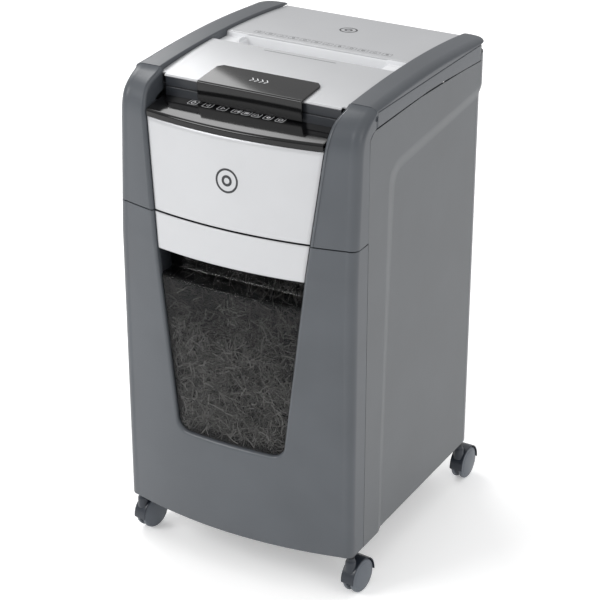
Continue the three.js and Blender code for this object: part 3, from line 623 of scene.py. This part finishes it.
# %% [markdown]
# ## Recess under the lid
# Behind the panel stands the head's own wall, with the lid's skirt above it.


# %% Recess walls
def bar_across(name, half, profile, material):
    """A profile in (y, z) carried straight across, half to either side of the middle."""
    x = np.linspace(-half, half, 4)[:, None]
    profile = np.asarray(profile, float)
    return tube(name, grid(x, profile[None, :, 0], profile[None, :, 1]), material)


# The wall and the skirt take the darker recess grey, which is painted shade.
wall_profile = [(-161.0, 727), (-161.0, 755.6), (-160.4, 757), (-158.0, 757), (-158, 727)]
wall = bar_across("recess_back", 146, wall_profile, SHADED_RECESS_GREY)
tidy(wall, "cabinet", ["recess_wall"], bevel=0.3)
skirt_profile = [(-160.6, 759), (-160.6, 773.6), (-158.2, 773.6), (-158.2, 759)]
skirt = bar_across("lid_skirt", 146, skirt_profile, SHADED_RECESS_GREY)
tidy(skirt, "lid", (), bevel=0.5)

# %% [markdown]
# ## Lid rails
# A rail's section is a flat top with a small inner round and a large outer one. Carried along the
# arch, it narrows at the back to follow the cabinet's rear corner.

# %% Lid rails
INNER_R, OUTER_R, OUTER_DROP = 2.2, 14, 9.0
TAPER_Y = 188
taper = 29.6 * np.sin(np.linspace(0, math.pi / 2, 26))
rail_y = np.r_[np.linspace(ARM_BACK + 0.7, 186, 70), TAPER_Y + taper]
over = np.clip((rail_y - TAPER_Y) / BACK_CORNER, 0, 1)
x_out = HALF_W - BACK_CORNER + BACK_CORNER * np.sqrt(1 - over**2)
tip = np.clip((rail_y - 206) / 11.8, 0, 1)
z_top = rail_top(rail_y) - 2.4 * (1 - np.sqrt(1 - tip**2 * 0.97))
base_z = RIM_Z + 0.5
drop = np.minimum(OUTER_DROP, z_top - base_z - 0.8)

# The section's points in order: inner foot, inner round, top, outer round, outer foot.
inner_turn = np.linspace(0, math.pi / 2, 6)[:, None]
outer_turn = np.linspace(0, math.pi / 2, 16)[:, None]
outer_x = np.maximum(x_out - OUTER_R * (1 - np.sin(outer_turn)), RAIL_IN + 2.4)
section = np.concatenate([
    grid(RAIL_IN, rail_y[None], base_z),
    grid(
        RAIL_IN + INNER_R * (1 - np.cos(inner_turn)),
        rail_y,
        z_top - INNER_R * (1 - np.sin(inner_turn)),
    ),
    grid((RAIL_IN + x_out - OUTER_R)[None] / 2, rail_y, z_top + 0.15),
    grid(outer_x, rail_y, z_top - drop * (1 - np.cos(outer_turn))),
    grid(x_out[None], rail_y, base_z + 0.5),
    grid(x_out[None] - 0.6, rail_y, base_z),
])
rail_rings = section.transpose(1, 0, 2)


def draw_rail(side, flip):
    """One rail, closed by a flat face over each end."""
    piece = tube("lid_rail_skin_" + side, rail_rings * flip, GREY)
    tidy(piece, "lid", ["lid_rail_" + side], bevel=0.4, angle=50)


both_sides(draw_rail)

# %% [markdown]
# ## Silver lid and feed trough
# Both silver panels follow one arch. The white trough between them is a height map over its
# length and width, with the throat left open.


# %% Lid panels
def lid_panel(name, y0, y1, ny, half_front=None):
    """A panel on the silver arch; half_front narrows its first millimetres between the arms."""
    x = np.linspace(-1, 1, 60)[None, :]
    y = np.r_[np.linspace(y0, y0 + 7, 9), np.linspace(y0 + 7, y1, ny)[1:]][:, None]
    half = np.full_like(y, RAIL_IN - 0.5)
    if half_front is not None:
        half = np.where(y < ARM_BACK + 0.9, half_front, half)
    drop = 1.6 * (1 - smoothstep(0, 3.0, y - y0)) ** 2
    return patch(name, grid(x * half, y, silver_top(y) - drop), SILVER)


TROUGH_Y0, TROUGH_Y1 = -13.0, 31.0
front_lid = lid_panel("lid_front_skin", -163.0, TROUGH_Y0 + 0.3, 60, 146.6)
tidy(front_lid, "lid", ["lid_front_panel"], wall=2.2, bevel=0.7, towards=(0, 0, 1))
rear_lid = lid_panel("lid_rear_skin", TROUGH_Y1 - 0.3, REAR - 2.6, 60)
tidy(rear_lid, "lid", ["lid_rear_panel"], wall=2.2, bevel=0.7, towards=(0, 0, 1))

# %% [markdown]
# The trough's height is the lid's arch less a ledge all along it, less a slope down to the throat.
# Its grid is finer where the throat ends.

# %% Feed trough
THROAT_HALF_X, THROAT_HALF_Y, THROAT_Y = 115.5, 7.0, 19.5
tx = np.linspace(-157, 157, 120)
tx = np.unique(np.r_[tx, np.linspace(-128, -112, 14), np.linspace(112, 128, 14)])
ty_front = np.r_[np.linspace(TROUGH_Y0 + 0.6, 4, 12), np.linspace(4, 12, 9)[1:]]
ty = np.r_[ty_front, 20, np.linspace(26.2, TROUGH_Y1 - 0.6, 14)]
X, Y = np.meshgrid(tx, ty, indexing="ij")
throat = 1 - smoothstep(117, 121.5, np.abs(X))
ledge = 7.0 * smoothstep(-0.5, 1.6, Y - TROUGH_Y0) * (1 - smoothstep(28.2, 30.6, Y))
slope_in = 13.0 * throat * smoothstep(-8, 11, Y) * (1 - smoothstep(26.0, 31.5, Y))
Z = silver_top(Y) - 0.8 - ledge - slope_in
middle_x = (X[1:, 1:] + X[:-1, :-1]) / 2
middle_y = (Y[1:, 1:] + Y[:-1, :-1]) / 2
hole = (np.abs(middle_x) < THROAT_HALF_X) & (np.abs(middle_y - THROAT_Y) < THROAT_HALF_Y)
trough = patch("feed_trough", grid(X, Y, Z), WHITE, skip=hole)
tidy(trough, "lid", ["feed_guide"], wall=1.6, bevel=0.0, towards=(0, 0, 1))

# A small raised block guides the sheets at the trough's left end.
block_x, block_y = np.linspace(-127.5, -122.5, 8), np.linspace(9.0, 28.0, 16)
u, v = np.meshgrid(np.linspace(-1, 1, 8), np.linspace(-1, 1, 16), indexing="ij")
crown = 4.6 * (1 - np.abs(u) ** 6) * (1 - np.abs(v) ** 8)
block = patch("trough_guide_block", grid(block_x[:, None], block_y[None, :], 778.2 + crown), WHITE)
tidy(block, "lid", (), wall=1.0, towards=(0, 0, 1))

# %% [markdown]
# ## Lid handle
# A glossy plate over the lid's front edge, with a skirt that hangs into the recess.

# %% Handle
HANDLE_HALF, HANDLE_BACK, HANDLE_BEND = 87.0, -105.5, -165.2
HANDLE_LOW, HANDLE_UP, NOSE_R = 745.9, 2.9, 3.4
across = np.linspace(-1, 1, 44)[None, :]
hy = np.linspace(HANDLE_BACK, HANDLE_BEND, 26)
half_at = np.interp(hy, [HANDLE_BEND, -113.5, HANDLE_BACK], [HANDLE_HALF, HANDLE_HALF, 79.0])
top_line = np.stack([hy, silver_top(hy) + HANDLE_UP], -1)
turn = np.linspace(0, math.pi / 2, 7)[1:]
nose_z = silver_top(HANDLE_BEND) + HANDLE_UP - NOSE_R * (1 - np.cos(turn))
nose = np.stack([HANDLE_BEND - NOSE_R * np.sin(turn), nose_z], -1)
fall_z = np.linspace(nose[-1, 1], HANDLE_LOW, 13)[1:]
fall = np.stack([HANDLE_BEND - NOSE_R + 1.6 * np.linspace(0, 1, 12) ** 2, fall_z], -1)
line = np.r_[top_line, nose, fall]
half_all = np.r_[half_at, np.full(len(nose) + len(fall), HANDLE_HALF)]
handle_points = grid(across * half_all[:, None], line[:, :1], line[:, 1:])
handle = patch("lid_handle_gloss", handle_points, BLACK)
tidy(handle, "lid", ["lid_handle"], wall=2.4, bevel=0.6, towards=(0, -0.4, 1))


# %% [markdown]
# ### Marks on the lid and the head
# Chevrons on the handle, a row of simple signs behind the trough, a thin line, and plain rings.


# %% Lid and head marks
def handle_lay(u, v):
    """Lays (u, v) on the handle, v being y itself."""
    return grid(u, v, silver_top(v) + HANDLE_UP + 0.12)


chevron = np.array([[-4.5, -5], [0, 0], [-4.5, 5]])
chevrons = [(chevron + [dx, -134.0], 1.6, False) for dx in (-12, -4, 4, 12)]
marks("handle_chevrons", chevrons, handle_lay, PRINT, "lid")


def lid_lay(u, v):
    """Lays (u, v) on the silver lid, v being y itself."""
    return grid(u, v, silver_top(v) + 0.1)


row = []
for k in range(12):
    centre = [-110 + 20 * k, 48.0]
    row.append((round_box(15, 10, 1.2) + centre, 0.45, True))
    kind = ["ring", "bars", "peak", "dot"][k % 4]
    row += [(line + centre, w * 0.6, closed) for line, w, closed in sign(kind, 7.0)]
marks("lid_pictograms", row, lid_lay, INK, "lid")
thin_line = np.array([[x, -22.5] for x in (-60.0, -20.0, 20.0, 62.0)])
marks("lid_line", [(thin_line, 1.1, False)], lid_lay, INK, "lid")
lid_rings = [(13, 48, 2.6), (5, 32, 3.0)]
lid_items = [(ring_line(r, n) + [0, 132.0], w, True) for r, n, w in lid_rings]
marks("lid_badge", lid_items, lid_lay, INK, "lid")


def head_lay(u, v):
    """Lays (u, v) on the head's silver front, v being z itself."""
    return grid(u, front_y(u, v) + SILVER_SET - 0.12, v)


head_rings = [(17, 60, 3.2), (6.5, 40, 4.0)]
head_items = [(ring_line(r, n) + [0, 662.0], w, True) for r, n, w in head_rings]
head_badge = marks("head_badge", head_items, head_lay, INK, "cabinet")
face_towards(head_badge, (0, -1, 0))

# %% [markdown]
# ## Side panels
# Rings run from the panel's outline to the recess edge, down its bevel, and in to the middle.

# %% Side panels
# The recess runs out through the lower edge and the back edge, so its rim is an open line.
# Each line below is (y, z) and has nine points, so that point k of one faces point k of the next.
DEEP = 5.0
PANEL_FRONT, BACK_EDGE = SEAM + 0.4, SIDE_BACK - 0.4
EDGE_LINE = [
    (PANEL_FRONT, SKIRT), (PANEL_FRONT, 242), (PANEL_FRONT, 359), (PANEL_FRONT, 700),
    (-175.0, 741), (-163, 751.4), (-18, 756.0), (117, 753), (BACK_EDGE, 749.6),
]
RIM_OUT = [
    (-128.5, SKIRT), (-127, 242), (-122, 359), (-117, 640),
    (-113.5, 670), (-92, 686), (-18, 693), (117, 703), (BACK_EDGE, 710),
]
RIM_IN = [
    (-108.6, SKIRT), (-105, 242), (-101, 359), (-88, 640),
    (-79, 658), (-61, 665), (-3, 669), (133, 682), (BACK_EDGE, 688),
]
FAR_LINE = [(BACK_EDGE, z) for z in (SKIRT, SKIRT, SKIRT, 300, 420, 520, 600, 650, 687)]
STEPS = 24


def shared(points, reach=0):
    """A line with the same count of steps between each pair of its points, softened if asked."""
    pts = np.array(points, float)
    share = np.linspace(0, len(pts) - 1, STEPS * (len(pts) - 1) + 1)
    line = np.stack([np.interp(share, np.arange(len(pts)), column) for column in pts.T], -1)
    return soften(line, reach) if reach else line


edge_line, far_line = shared(EDGE_LINE), shared(FAR_LINE)
rim_out, rim_in = shared(RIM_OUT, 6), shared(RIM_IN, 9)
side_rows = []
for v in np.linspace(0, 1, 6):
    side_rows.append(grid(HALF_W, *(edge_line * (1 - v) + rim_out * v).T))
for v in np.linspace(0, 1, 20)[1:]:
    depth = DEEP * (0.35 * v + 0.65 * smoothstep(0.0, 1.0, v))
    side_rows.append(grid(HALF_W - depth, *(rim_out * (1 - v) + rim_in * v).T))
for v in np.linspace(0, 1, 14)[1:]:
    side_rows.append(grid(HALF_W - DEEP, *(rim_in * (1 - v) + far_line * v).T))
side_points = np.stack(side_rows)


def draw_side(side, flip):
    """One side panel's skin, with its faces turned outward."""
    piece = patch("side_skin_" + side, side_points * flip, GREY_SIDE)
    tidy(piece, "cabinet", ["side_" + side], wall=2.4, bevel=0.5, towards=(flip[0], 0, 0))


both_sides(draw_side)

# %% [markdown]
# ## Back
# One sheet wraps both rear corners. Its grid lines are placed on the edges of the vents and of the
# inlet and switch cut-outs, so those are opened by leaving faces out.

# %% Back panel
VENT_X, VENT_Z, VENT_W, VENT_H = [-130, -60, 10, 80], [690, 700, 710, 720], 50, 4.5
INLET, SWITCH = (128.0, 640.0, 36.4, 30.4), (78.0, 640.0, 28.4, 21.4)
LID_ROOM_HALF, LID_ROOM_LOW, BACK_TOP = 157.5, 757.6, 762
cuts = [(x, x + VENT_W, z, z + VENT_H) for x in VENT_X for z in VENT_Z]
cuts += [(cx - w / 2, cx + w / 2, cz - h / 2, cz + h / 2) for cx, cz, w, h in (INLET, SWITCH)]
cut_x = [edge for cut in cuts for edge in cut[:2]]
cut_z = [edge for cut in cuts for edge in cut[2:]]
half_flat = HALF_W - BACK_CORNER
even_x = np.linspace(-half_flat, half_flat, 35)
bx = np.unique(np.r_[even_x, -LID_ROOM_HALF, LID_ROOM_HALF, cut_x])
bz = np.unique(np.r_[np.linspace(SKIRT, LID_ROOM_LOW, 44), BACK_TOP, cut_z])
turn = np.linspace(0, math.pi / 2, 14)[1:, None]
reach = BACK_CORNER - DEEP * (1 - smoothstep(690, 710, bz))  # narrower where the side recess runs out
right = grid(half_flat + np.sin(turn) * reach, SIDE_BACK + BACK_CORNER * np.cos(turn), bz)
flat = grid(bx[:, None], REAR, bz)
back_points = np.concatenate([(right * [-1, 1, 1])[::-1], flat, right])
round_x = back_points[:, 0, 0]
mid_x = (round_x[1:] + round_x[:-1])[:, None] / 2
mid_z = (bz[1:] + bz[:-1])[None, :] / 2
open_faces = (np.abs(mid_x) < LID_ROOM_HALF) & (mid_z > LID_ROOM_LOW)
for x0, x1, z0, z1 in cuts:
    open_faces |= (mid_x > x0) & (mid_x < x1) & (mid_z > z0) & (mid_z < z1)
back = patch("back_skin", back_points, GREY, skip=open_faces)
tidy(back, "cabinet", ["rear_panel"], wall=2.2, bevel=0.5, towards=(0, 1, 0))

# %% [markdown]
# ## Smoked window and grip
# The pane follows the front, and bends back at its top edge into the grip behind the band.

# %% Window and grip
BEND_R, PANE_SET, GRIP_BACK = 4.0, 5.2, -202.0
flat_z = np.linspace(WINDOW_LOW - 6, GRIP_LOW - 4.6, 60)
bend = np.linspace(0, math.pi / 2, 9)[1:]
across = np.linspace(-1, 1, 80)[None, :]
pane_z = np.r_[flat_z, flat_z[-1] + BEND_R * np.sin(bend)][:, None]
set_back = PANE_SET + np.r_[np.zeros(60), BEND_R * (1 - np.cos(bend))][:, None]
pane_x = across * (trim_half(pane_z) + 2.6)
pane_points = grid(pane_x, front_y(pane_x, pane_z) + set_back, pane_z)
pane = patch("bin_window_pane", pane_points, SMOKED)
tidy(pane, "bin", ["bin_window"], wall=1.6, towards=(0, -1, 0))

# The grip: a ledge just over the pane, a rounded corner, and a back that rises behind the band.
COVE_R = 6
ledge_x = across * (trim_half(GRIP_LOW) + 1.0)
front_edge = front_y(ledge_x, GRIP_LOW) + 9.4
v = np.linspace(0, 1, 14)[:, None]
ledge = grid(ledge_x, front_edge * (1 - v) + GRIP_BACK * v, GRIP_LOW + 0.2 - 1.2 * v)
turn = np.linspace(0, math.pi / 2, 9)[1:, None]
cove_z = GRIP_LOW - 1.0 + COVE_R * (1 - np.cos(turn))
cove = grid(ledge_x, GRIP_BACK + COVE_R * np.sin(turn), cove_z)
v = np.linspace(0, 1, 12)[1:, None]
rise = grid(ledge_x * (1 + 0.07 * v), GRIP_BACK + COVE_R, GRIP_LOW + 5.0 + 77 * v)
grip = patch("grip_shell", np.concatenate([ledge, cove, rise]), SMOKED)
tidy(grip, "bin", ["bin_scoop"], wall=1.6, towards=(0, -0.6, 1))


def draw_cheek(side, flip):
    """The grip's end wall: from the pane's edge back, tapering with the trim."""
    z = np.linspace(GRIP_LOW - 4, 580, 14)[:, None]
    y = np.linspace(-221, -196, 6)[None, :]
    points = grid(trim_half(z) + 1.4, y, z)
    # The cheek takes the darker recess grey, which is painted shade.
    piece = patch("grip_cheek_" + side, points * flip, SHADED_RECESS_GREY)
    tidy(piece, "bin", (), wall=1.6, towards=(-flip[0], 0, 0))


both_sides(draw_cheek)

# %% [markdown]
# ## Paper cuttings
# Short curled strips stand in a layer in the gap between the pane and the bucket's front wall,
# thick at the bottom and thin at the top. The bucket itself is left empty.

# %% Cuttings
N_CUT, N_ALONG = 3400, 7
z0 = 238 + 280 * rng.beta(1.0, 1.3, N_CUT)
x0 = rng.uniform(-1, 1, N_CUT) * (trim_half(z0) - 4)
z0 = np.where((z0 > 425) & (x0 < -20) & (rng.random(N_CUT) < 0.75), 240 + rng.random(N_CUT) * 150, z0)
deep = 8.5 + 34 * rng.beta(1.0, 1.6, N_CUT)
y0 = np.where(z0 > 470, -190.0 + 9 * rng.random(N_CUT), front_y(x0, z0) + deep)
length = rng.uniform(12, 30, N_CUT)
wide = rng.uniform(0.9, 1.7, N_CUT)
heading = rng.uniform(0, 2 * math.pi, N_CUT)
tilt = rng.normal(0, 0.16, N_CUT)
curl = rng.normal(0, 0.9, N_CUT)
twist = rng.normal(0, 0.5, N_CUT)

# A strip's middle line turns steadily by its curl, and is centred on the strip's own place.
t = np.linspace(-0.5, 0.5, N_ALONG)[None, :]
direction = heading[:, None] + curl[:, None] * t
du, dv = np.cos(direction), np.sin(direction)
step = length[:, None] / (N_ALONG - 1)
u = np.cumsum(du, 1) * step
v = np.cumsum(dv, 1) * step
u -= u.mean(1, keepdims=True)
v -= v.mean(1, keepdims=True)
half_wide = np.array([-0.5, 0.5]) * wide[:, None, None]
sx = x0[:, None, None] + u[..., None] - dv[..., None] * half_wide
sz = z0[:, None, None] + v[..., None] + du[..., None] * half_wide
sy = y0[:, None, None] + np.sin(tilt)[:, None, None] * u[..., None] * 0.6
sy = sy + twist[:, None, None] * half_wide

# The strips are kept behind the pane, within its width, and in front of the bucket.
limit = trim_half(sz) - 1.5
sx = np.clip(sx, -limit, limit)
sz = np.clip(sz, 233, 535)
nearest = np.where(sz > 479, -192.5, front_y(sx, sz) + 8.2)
sy = np.clip(sy, nearest, -179.5)
per_strip = 2 * N_ALONG
first = np.arange(N_CUT) * per_strip
cut_faces = (grid_faces(N_ALONG, 2)[None] + first[:, None, None]).reshape(-1, 4)
heap = put("paper_cuttings", grid(sx, sy, sz), cut_faces, PAPER)

# %% [markdown]
# Each strip carries its own value: a random tone, so a few are bright; painted shade that darkens the
# strips lying deeper behind the pane; and high ones are darker.

# %% Tone and painted shade of the cuttings
spot = np.empty(len(heap.data.vertices) * 3)
heap.data.vertices.foreach_get("co", spot)
x, y, z = (spot.reshape(-1, 3) / MM).T
# Painted shade: the further a strip lies behind the pane, the darker it is.
near = 1 - np.clip((y - front_y(x, z) - 8) / 34, 0, 1)
low = 1 - smoothstep(300, 500, z)
chance = np.repeat(rng.random(N_CUT) ** 2.2, per_strip)[: len(x)]
tone_and_painted_shade = 0.10 + 0.75 * chance * (0.35 + 0.65 * low) + 0.26 * near * low
heap.data.attributes.new("tone_and_painted_shade", "FLOAT", "POINT").data.foreach_set("value", tone_and_painted_shade)
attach(heap, "bin")
print("cuttings:", N_CUT)

# %% [markdown]
# ## Castors
# Twin wheels with domed outer faces turn about a short axle; a hood wraps over them and carries
# the swivel stem.

# %% Castors
WHEEL_R, TRAIL = 27.5, 20.0
CASTORS = [  # name, the stem's x and y, and the castor's angle in degrees
    ("front_left", -190.0, -198.0, 10.0),
    ("front_right", 190.0, -198.0, 6.0),
    ("rear_left", -187.9, 190.9, -8.6),
    ("rear_right", 187.9, 190.9, 1.0),
]
WHEEL_PROFILE = [  # radius, and distance from the middle
    (0.0, 12.5), (8, 12.35), (16, 11.9), (21, 11.2), (22.2, 10.7), (22.8, 10.2), (23.4, 10.6),
    (25.2, 10.4), (26.6, 9.6), (27.3, 8.4), (27.5, 7.0), (27.5, 5.8), (26.8, 4.4), (25.5, 3.8), (4.2, 3.8),
]
HOOD_SECTION = np.array([  # distance from the middle, and radius
    (-11.4, 28.9), (-11.4, 29.9), (-10.6, 30.5), (0, 30.6),
    (10.6, 30.5), (11.4, 29.9), (11.4, 28.9), (0, 28.9),
])
NECK_PROFILE = np.array([  # radius, and height
    (0.05, 44), (8.6, 44), (8.4, 60), (7.6, 62.5), (6.2, 64.5), (6.0, 68.4), (0.05, 68.4),
])
WEB_R = 29.5


def wheel_points():
    """Both wheels' profile turned about the axle: y and z are a circle at each radius."""
    half = np.array(WHEEL_PROFILE)
    radius, x = np.r_[half, half[::-1] * [1, -1]].T
    t = np.linspace(0, 2 * math.pi, 72, endpoint=False)[:, None]
    return grid(x, TRAIL + radius * np.cos(t), WHEEL_R + radius * np.sin(t))


def hood_points():
    """The fender: a rounded band from low at the front, over the top, to the back."""
    t = np.linspace(-0.03 * math.pi, 1.02 * math.pi, 60)[:, None]
    x, radius = HOOD_SECTION.T
    return grid(x, TRAIL - radius * np.cos(t), WHEEL_R + radius * np.sin(t))


def web_points():
    """The rib under the fender: an arc closed by a short foot, 6.4 mm thick."""
    t = np.linspace(-0.02 * math.pi, 1.0 * math.pi, 30)
    y = np.r_[TRAIL - WEB_R * np.cos(t), TRAIL + 6, TRAIL - 6]
    z = np.r_[WHEEL_R + WEB_R * np.sin(t), WHEEL_R - 8, WHEEL_R - 8]
    return grid(np.array([-3.2, 3.2])[:, None], y, z)


def neck_points():
    """The neck and stem: a profile of (radius, z) turned about the swivel's axis."""
    t = np.linspace(0, 2 * math.pi, 32, endpoint=False)[:, None]
    radius, z = NECK_PROFILE.T
    return grid(radius * np.cos(t), radius * np.sin(t), z)


def place(points, x, y, degrees):
    """Turns points about the swivel and moves them to the stem."""
    a = math.radians(-degrees)
    c, s = math.cos(a), math.sin(a)
    spun = points @ np.array([[c, s, 0], [-s, c, 0], [0, 0, 1.0]])
    return spun + [x, y, 0]


for name, *stand in CASTORS:
    wheels = patch("wheels_" + name + "_pair", place(wheel_points(), *stand), DISC, wrap_u=True)
    tidy(wheels, "wheels_" + name, ["castor_" + name + "_wheels"], bevel=0.0)
    hood = tube("hood_" + name + "_fender", place(hood_points(), *stand), HOOD)
    tidy(hood, "castor_" + name, ["castor_" + name + "_hood"], bevel=0.5)
    rib = tube("hood_" + name + "_web", place(web_points(), *stand), DARK)
    tidy(rib, "castor_" + name, ())
    stem = patch("hood_" + name + "_neck", place(neck_points(), *stand), HOOD, wrap_u=True)
    tidy(stem, "castor_" + name, (), bevel=0.3)

# %% [markdown]
# ## The parts inside
# These keep their modelled shapes and only get their finishes.

# %% Inside finishes
FINISHES = {
    "dark": DARK,
    "zinc": ZINC,
    "steel": STEEL,
    "nylon": NYLON,
    "rubber": RUBBER,
    "board": BOARD,
    "gloss_black": BLACK,
    "white": WHITE,
}
slots = {part["node"]: part["material_slot"] for part in frame["record"]["subparts"]}
finished = 0
for node, piece in frame["nodes"].items():
    if slots.get(node) in FINISHES:
        piece.data.materials.clear()
        piece.data.materials.append(FINISHES[slots[node]])
        piece.data.polygons.foreach_set("use_smooth", np.zeros(len(piece.data.polygons), bool))
        finished += 1
print("nodes given a finish:", finished)

# %% [markdown]
# ## Floor, light and camera
# A pale floor, a wide soft light above on the left, and a sky that is bright overhead and darker
# at the horizon. The camera looks down from the front right through a long lens.

# %% Floor and sky
FLOOR = 30
corners = [(-FLOOR, -FLOOR, 0), (FLOOR, -FLOOR, 0), (FLOOR, FLOOR, 0), (-FLOOR, FLOOR, 0)]
floor_mesh = bpy.data.meshes.new("floor")
floor_mesh.from_pydata(corners, [], [(0, 1, 2, 3)])
floor = bpy.data.objects.new("floor", floor_mesh)
floor_paint = surface("floor_paint", (250, 250, 250), 0.9, grain=40, bump=0.0, cloud=0.004)
floor_mesh.materials.append(floor_paint)
# A slight glow keeps the floor white away from the lamps.
glow = floor_mesh.materials[0].node_tree.nodes["Principled BSDF"]
glow.inputs["Emission Color"].default_value = (1, 1, 1, 1)
glow.inputs["Emission Strength"].default_value = 0.3
bpy.context.scene.collection.objects.link(floor)
floor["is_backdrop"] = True

world = bpy.data.worlds.new("studio")
world.use_nodes = True
bpy.context.scene.world = world
sky_tree = world.node_tree
where = sky_tree.nodes.new("ShaderNodeTexCoord")
split = sky_tree.nodes.new("ShaderNodeSeparateXYZ")
sky = sky_tree.nodes.new("ShaderNodeValToRGB")
sky_tree.links.new(where.outputs["Generated"], split.inputs["Vector"])
sky_tree.links.new(split.outputs["Z"], sky.inputs["Fac"])
sky.color_ramp.elements[0].color = (0.42, 0.42, 0.43, 1)
sky.color_ramp.elements[1].position = 0.75
sky.color_ramp.elements[1].color = (1.0, 1.0, 1.0, 1)
sky_tree.links.new(sky.outputs["Color"], sky_tree.nodes["Background"].inputs["Color"])
sky_tree.nodes["Background"].inputs["Strength"].default_value = 0.85
print("floor and sky made")

# %% [markdown]
# Three square lamps: a key from the front left, a weaker fill from the right, and one behind.


# %% Lamps
def area(name, place_at, aim, size, power):
    """A square soft light at one point, aimed at another."""
    data = bpy.data.lights.new(name, "AREA")
    data.shape, data.size, data.energy = "SQUARE", size, power
    lamp = bpy.data.objects.new(name, data)
    lamp.location = place_at
    lamp.rotation_mode = "QUATERNION"
    lamp.rotation_quaternion = (Vector(aim) - Vector(place_at)).to_track_quat("-Z", "Y")
    bpy.context.scene.collection.objects.link(lamp)
    lamp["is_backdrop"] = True


area("key", (-1.9, -2.6, 2.4), (0, 0, 0.45), 1.5, 50)
area("fill", (2.9, -0.9, 1.7), (0, 0, 0.4), 1.6, 13)
area("behind", (-2.5, 1.8, 2.8), (0, 0, 0.75), 2.0, 42)
print("lamps:", len(bpy.data.lights))

# %% [markdown]
# The camera stands `DISTANCE` from the point it looks at, turned to the right and raised.

# %% Camera
AZIMUTH, ELEVATION = math.radians(29.55), math.radians(25.93)
AIM = np.array([-0.0113, 0.0, 0.3728])
DISTANCE = 3.0934
level = math.cos(ELEVATION)
to_camera = Vector((math.sin(AZIMUTH) * level, -math.cos(AZIMUTH) * level, math.sin(ELEVATION)))
lens = bpy.data.cameras.new("camera")
lens.sensor_width, lens.lens = 36.0, 117.24
camera = bpy.data.objects.new("camera", lens)
camera.location = Vector(AIM) + to_camera * DISTANCE
camera.rotation_mode = "QUATERNION"
camera.rotation_quaternion = (-to_camera).to_track_quat("-Z", "Y")
bpy.context.scene.collection.objects.link(camera)
bpy.context.scene.camera = camera
bpy.context.scene.view_settings.view_transform = "Standard"
print("camera:", round(DISTANCE, 3), "m away,", lens.lens, "mm lens")

# %% [markdown]
# ## Sizes and finish
# The drawn machine's bounding box is measured and printed.

# %% Sizes and finish
low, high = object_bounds()
print("visual box", [round(v, 4) for v in (*low, *high)])
